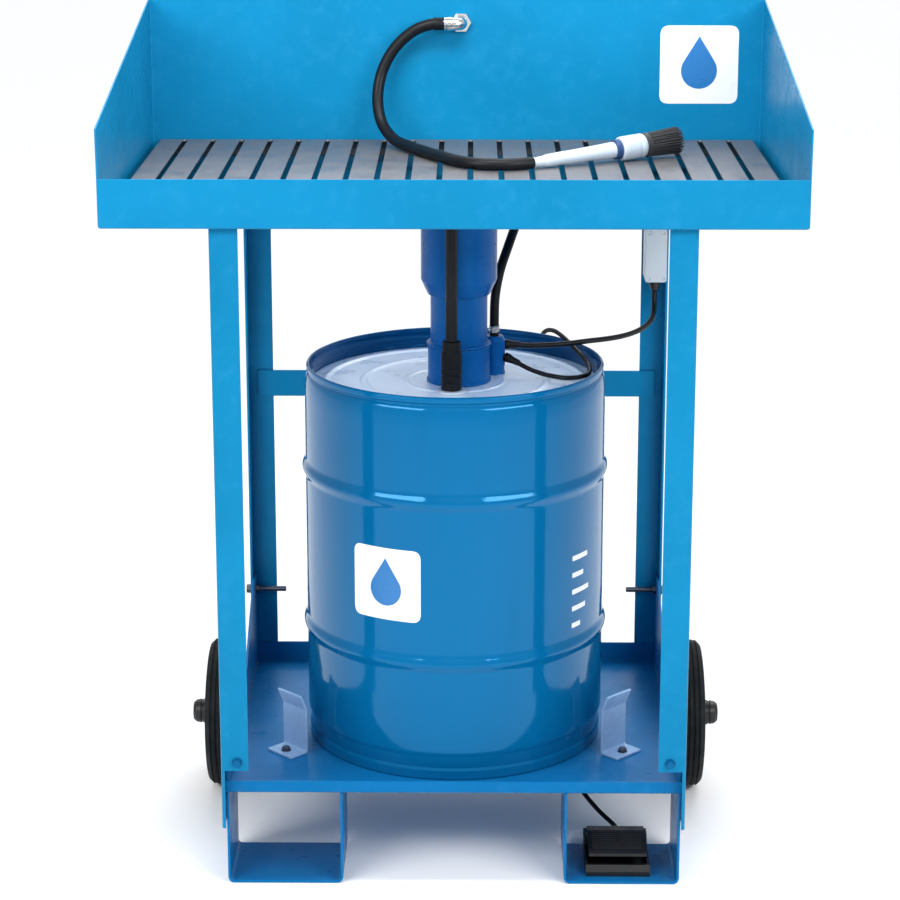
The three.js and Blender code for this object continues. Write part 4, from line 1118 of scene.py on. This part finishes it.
# ---------------- brush
def wash_brush():
    """A turned handle, a coloured ring, a collar and the bristles, along one line from the hose's end."""
    turn, tilt = math.radians(BRUSH["turn"]), math.radians(BRUSH["tilt"])
    place = (Matrix.Translation(BRUSH["tail"]) @ Matrix.Rotation(turn, 4, "Z")
             @ Matrix.Rotation(-tilt, 4, "Y") @ Matrix.Rotation(math.pi / 2, 4, "Y"))
    handle = [(0, 0.4), (5.9, 0.4), (6.4, 1.6), (6.4, 4), (6, 5), (6, 6.5), (6.5, 7.5), (6.6, 14), (8, 20),
              (8.4, 34), (9, 70), (9.8, 96), (10.4, 110), (10.4, 118), (0, 118)]
    piece("brush_grip", put(lathed(handle, 1.2, 72, 5), place), "white_plastic", "brush_handle", "brush")
    ring = [(0, 118.3), (12, 118.3), (12.6, 119.4), (12.6, 121), (12.1, 121.6), (12.1, 122.4), (12.6, 123),
            (12.6, 124.6), (12, 125.7), (0, 125.7)]
    piece("brush_band", put(lathed(ring, 0.3, 72, 3), place), "navy_plastic", "brush_ring", "brush")
    collar = [(0, 126), (13.8, 126), (15.2, 127.4), (15.6, 130), (15.8, 150), (15.2, 151), (15.2, 153),
              (15.8, 154), (15.8, 158), (14.8, 161), (0, 161)]
    piece("brush_cup", put(lathed(collar, 0.8, 80), place), "white_plastic", "brush_collar", "brush")
    tufts = bristle_tufts(low=161.2, high=214, root_radius=15.6, tip_radius=18.4)
    piece("brush_bristles", put(tufts, place), "bristle", "brush_head", "brush", smooth=60)


def bristle_tufts(low, high, root_radius, tip_radius):
    """Round tufts in rings, splayed slightly outwards, over a short base."""
    random.seed(7)
    base = lathed([(0, low), (root_radius, low), (root_radius, low + 6), (root_radius - 1.5, low + 8),
                   (0, low + 8)], 0.8)
    strands = bmesh.new()
    rings, spacing = 9, 1.5
    for ring in range(rings):
        radius = root_radius * (ring + 0.3) / rings
        count = max(5, round(2 * math.pi * radius / spacing))
        for k in range(count):
            turn = 2 * math.pi * (k + random.uniform(-0.3, 0.3)) / count + ring
            start = Vector((radius * math.cos(turn), radius * math.sin(turn), low + 5))
            tip = radius * tip_radius / root_radius * random.uniform(0.94, 1.0)
            turn += random.uniform(-0.08, 0.08)
            end = Vector((tip * math.cos(turn), tip * math.sin(turn), high - random.uniform(0, 1.6)))
            strand(strands, start, end)
    return merged(base, strands)


def strand(bm, start, end):
    """A five-sided tapered rod from one point to another."""
    tangent = (end - start).normalized()
    across = (end - start).orthogonal().normalized()
    root, tip = ring_of(bm, start, tangent, across, 0.75, 5), ring_of(bm, end, tangent, across, 0.5, 5)
    band(bm, root, tip)
    bm.faces.new(root[::-1])
    bm.faces.new(tip)


# ---------------- power box
def power_box():
    """A hollow box, open at the back, with its cover, four screws and the gland of the pump cable."""
    low, high = box("power_box")
    wall = POWER_BOX["wall"]

    def outline(inset, radius):
        shape = rectangle(low.x + inset, low.z + inset, high.x - inset, high.z - inset)
        return filleted(shape, radius, 5, True)
    shell = to_object("box_shell", extruded(outline(0, 3.5), "Y", (low.y, high.y)))
    at_gland = standing((low.x + high.x) / 2, POWER_BOX["gland_y"])
    hole = put(rod(POWER_BOX["gland_hole"], low.z - 5, low.z + 10), at_gland)
    carve(shell, extruded(outline(wall, 2.0), "Y", (low.y - 5, high.y - wall)), hole)
    dress(shell, "grey_plastic", "power_box", edge=0.5)
    cover_low, cover_high = box("power_box_cover")
    cover = to_object("box_cover", extruded(outline(0, 3.5), "Y", (cover_low.y + 0.01, cover_high.y)))
    corners = [(x, z) for x in (low.x + 5, high.x - 5) for z in (low.z + 5, high.z - 5)]
    places = [pointing((0, 1, 0), (x, cover_low.y, z)) for x, z in corners]
    head = [(0, 0.5), (1.6, 0.5), (2.2, 1.1), (2.2, 1.8), (0, 1.8)]
    carve(cover, *[put(rod(2.6, -3, 0.9, 24), place) for place in places])
    dress(cover, "grey_plastic", "power_box_cover", edge=0.6)
    piece("box_screws", merged(*[put(lathed(head, 0.3, 24), place) for place in places]), "zinc")
    foot, top = (corner.z for corner in box("power_box_gland"))
    gland = [(0, foot), (4.6, foot), (5.6, foot + 1), (6.4, foot + 4), (6.4, foot + 6), (7.5, foot + 6.6),
             (7.5, low.z - 0.4), (3.6, low.z - 0.4), (3.6, top), (0, top)]
    piece("box_gland", put(lathed(gland, 0.5, 48, 3), at_gland), "black_plastic", "power_box_gland")


# ---------------- foot switch
def foot_switch():
    """A treadle with raised ribs on a base, its hinge pin and spring, and the pedal cable's gland."""
    keep("pedal_base", "black_plastic", 1.2)
    keep("pedal_treadle", "black_plastic", 0.9)
    treadle_low, treadle_high = box("pedal_treadle")
    base_low, base_high = box("pedal_base")
    # The treadle's sloping top, as (y, z) near its front and near its rear.
    front, rear = Vector((base_low.y + 14, 33.0)), Vector((base_high.y - 26, 38.0))
    ribs = []
    for k in range(9):
        y, z = front.lerp(rear, 0.08 + 0.84 * k / 8)
        outline = [(y - 1.1, z - 0.6), (y + 1.1, z - 0.5), (y + 0.7, z + 0.75), (y - 0.7, z + 0.65)]
        ribs.append(extruded(filleted(outline, 0.4, 2, True), "X", (treadle_low.x + 5, treadle_high.x - 5)))
    piece("treadle_ribs", merged(*ribs), "black_plastic", body="treadle")
    low, high = box("pedal_pin")
    middle = middle_of("pedal_pin")
    pin = lathed([(0, low.x), (1.9, low.x), (1.9, high.x), (0, high.x)], 0.4, 24)
    piece("hinge_pin", put(pin, pointing((1, 0, 0), (0, middle.y, middle.z))), "zinc", "pedal_pin")
    coil = []
    for k in range(97):
        turn = k * math.pi / 12
        coil.append(middle + Vector((12 * k / 96 - 6, 4.6 * math.cos(turn), 4.6 * math.sin(turn))))
    piece("return_spring", swept(coil, 0.7, 10), "zinc", "pedal_spring", "treadle")
    low, high = box("pedal_gland")
    middle = middle_of("pedal_gland")
    end = high.y - low.y
    gland = [(0, 0), (4.6, 0), (4.6, 4), (3.9, 5), (3.9, 7), (3.6, 7.4), (3.6, 9), (3.3, 9.4), (3.3, end),
             (0, end)]
    place = pointing((0, 1, 0), (middle.x, low.y, middle.z))
    piece("pedal_cable_gland", put(lathed(gland, 0.3, 32, 3), place), "hose_rubber", "pedal_gland")


def cable_grommet():
    """A rubber grommet that grips the pan's sheet round the pedal cable."""
    low, high = box("pan_grommet")
    middle = middle_of("pan_grommet")
    under, over = PAN_LOW.z - GAP, PAN_LOW.z + SHEET + GAP
    bore, neck, edge = PEDAL_CABLE["diameter"] / 2 + 0.4, GROMMET["neck"], GROMMET["edge"]
    profile = [(bore, low.z), (edge - 1, low.z), (edge, low.z + 1), (edge, under - 0.1), (neck, under),
               (neck, over), (edge, over + 0.1), (edge, high.z - 1), (edge - 1, high.z), (bore, high.z)]
    piece("cable_grommet", put(ringed(profile, 0.5, 48, 3), standing(middle.x, middle.y)), "hose_rubber",
          "pan_grommet")


# ---------------- printed films
def film_patch(name, outline, to_place, look, lift, rings=6):
    """A thin film of this (u, v) outline, laid on a surface by to_place(u, v, lift)."""
    bm = bmesh.new()
    thickness = 0.25
    middle = sum((Vector(point) for point in outline), Vector((0, 0))) / len(outline)
    edges = []
    for height in (lift, lift + thickness):
        grid = []
        for ring in range(rings + 1):
            spots = [middle.lerp(Vector(point), 0.02 + 0.98 * ring / rings) for point in outline]
            grid.append([bm.verts.new(to_place(u, v, height)) for u, v in spots])
        bm.faces.new(grid[0])
        for inner, outer in zip(grid, grid[1:]):
            band(bm, inner, outer)
        edges.append(grid[-1])
    band(bm, *edges)
    piece(name, finished(bm), None, look=look)


def drop_outline(radius, height, below, steps=60):
    """A falling drop: a circle, this far below the middle, with two straight sides that meet above it."""
    opening = math.acos(radius / height)
    points = []
    for off in around(steps):
        from_top = min(off, 2 * math.pi - off)
        reach = radius if from_top > opening else radius / math.cos(opening - from_top)
        points.append((reach * math.sin(off), reach * math.cos(off) - below))
    return points


def plate_outline(half_width, half_height, radius, shift=0.0):
    """A rounded rectangle whose long edges have points along them, so that it can be bent round a drum."""
    shape = rectangle(shift - half_width, -half_height, shift + half_width, half_height)
    corners = filleted(shape, radius, 8, True)
    points = []
    for start, end in zip(corners, corners[1:] + corners[:1]):
        count = 12 if math.dist(start, end) > radius else 1
        points += [tuple(Vector(start).lerp(Vector(end), k / count)) for k in range(count)]
    return points


def on_wall(u, v, lift):
    """A place on the back wall, counted from the middle of its sign."""
    return (WALL_SIGN[0] + u, TRAY["back"] - TRAY["wall"] - lift, WALL_SIGN[1] + v)


def on_drum(degrees, height):
    """Gives a function that lays (u, v) round the drum, counted from this azimuth and height."""
    def place(u, v, lift):
        reach = DRUM["radius"] + lift
        angle = math.radians(degrees) + u / DRUM["radius"]
        return (reach * math.sin(angle), -reach * math.cos(angle), height + v)
    return place


def signs():
    """Plain pictograms of a drop, and plain bars where a drum carries its handling notes."""
    film_patch("wall_sign_plate", plate_outline(52, 52, 12), on_wall, WHITE_FILM, 0.1)
    film_patch("wall_sign_drop", drop_outline(24, 46, 8), on_wall, BLUE_FILM, 0.4)
    on_front = on_drum(*DRUM_SIGN)
    film_patch("drum_sign_plate", plate_outline(46, 46, 11), on_front, WHITE_FILM, 0.1)
    film_patch("drum_sign_drop", drop_outline(21, 40, 7), on_front, BLUE_FILM, 0.4)
    for k, half in enumerate(DRUM_NOTES["halves"]):
        bar = plate_outline(half, 3.2, 1.2, half - max(DRUM_NOTES["halves"]))
        on_side = on_drum(DRUM_NOTES["azimuth"], DRUM_NOTES["top"] - DRUM_NOTES["pitch"] * k)
        film_patch(f"drum_note_{k + 1}", bar, on_side, WHITE_FILM, 0.1, 3)


# ---------------- floor and light
def studio():
    """A white floor under a white sky, two soft suns, and three soft boxes."""
    reach = 30000
    floor = to_object("floor", extruded(rectangle(-reach, -reach, reach, reach), "Z", (-60, -0.2)))
    white = bpy.data.materials.new("studio_floor")
    white.use_nodes = True
    shader = white.node_tree.nodes["Principled BSDF"]
    shader.inputs["Base Color"].default_value = (0.97, 0.97, 0.97, 1)
    shader.inputs["Roughness"].default_value = 0.9
    shader.inputs["Specular IOR Level"].default_value = 0.1
    floor.data.materials.append(white)
    world = bpy.data.worlds.new("studio")
    world.use_nodes = True
    sky = world.node_tree.nodes["Background"]
    sky.inputs["Color"].default_value = (0.97, 0.985, 1.0, 1)
    sky.inputs["Strength"].default_value = 0.64
    scene.world = world
    sun("front_sky", strength=0.15, width=35, elevation=38, azimuth=4)
    sun("rear_sky", strength=1.5, width=45, elevation=48, azimuth=170)
    for name, sign in (("left_box", -1), ("right_box", 1)):
        soft_box(name, place=(sign * 1350, -1500, 1500), aim=(0, 0, 450), size=(1400, 400), watts=26)
    soft_box("tray_box", place=(0, -330, 1750), aim=(0, 240, 940), size=(1000, 260), watts=13)
    scene.view_settings.view_transform = "Standard"


def lamp(name, kind, energy):
    """A light at the origin, and its data."""
    data = bpy.data.lights.new(name, kind)
    data.energy = energy
    made = bpy.data.objects.new(name, data)
    scene.collection.objects.link(made)
    return made, data


def sun(name, strength, width, elevation, azimuth):
    """A sun of this width in degrees, in the sky at this elevation and azimuth."""
    made, data = lamp(name, "SUN", strength)
    data.angle = math.radians(width)
    made.rotation_euler = (math.radians(90 - elevation), 0, math.radians(azimuth))


def soft_box(name, place, aim, size, watts):
    """A rectangular lamp that points from its place to its aim, all in millimetres."""
    made, data = lamp(name, "AREA", watts)
    data.shape, data.size, data.size_y = "RECTANGLE", size[0] * MM, size[1] * MM
    made.location = metres(place)
    made.rotation_euler = (metres(aim) - made.location).to_track_quat("-Z", "Y").to_euler()


# ---------------- the washer
make_camera()
make_cords()
wash_tray()
slotted_grate()
frame_legs()
rails_and_crossbar()
base_pan()
side_plates()
front_feet()
guide_brackets()
fasteners()
weld_beads()
axle_and_wheels()
drum()
drum_lid()
drain_column()
riser_pipe()
pump()
bulkhead_fitting()
wash_brush()
power_box()
foot_switch()
cable_grommet()
signs()
studio()
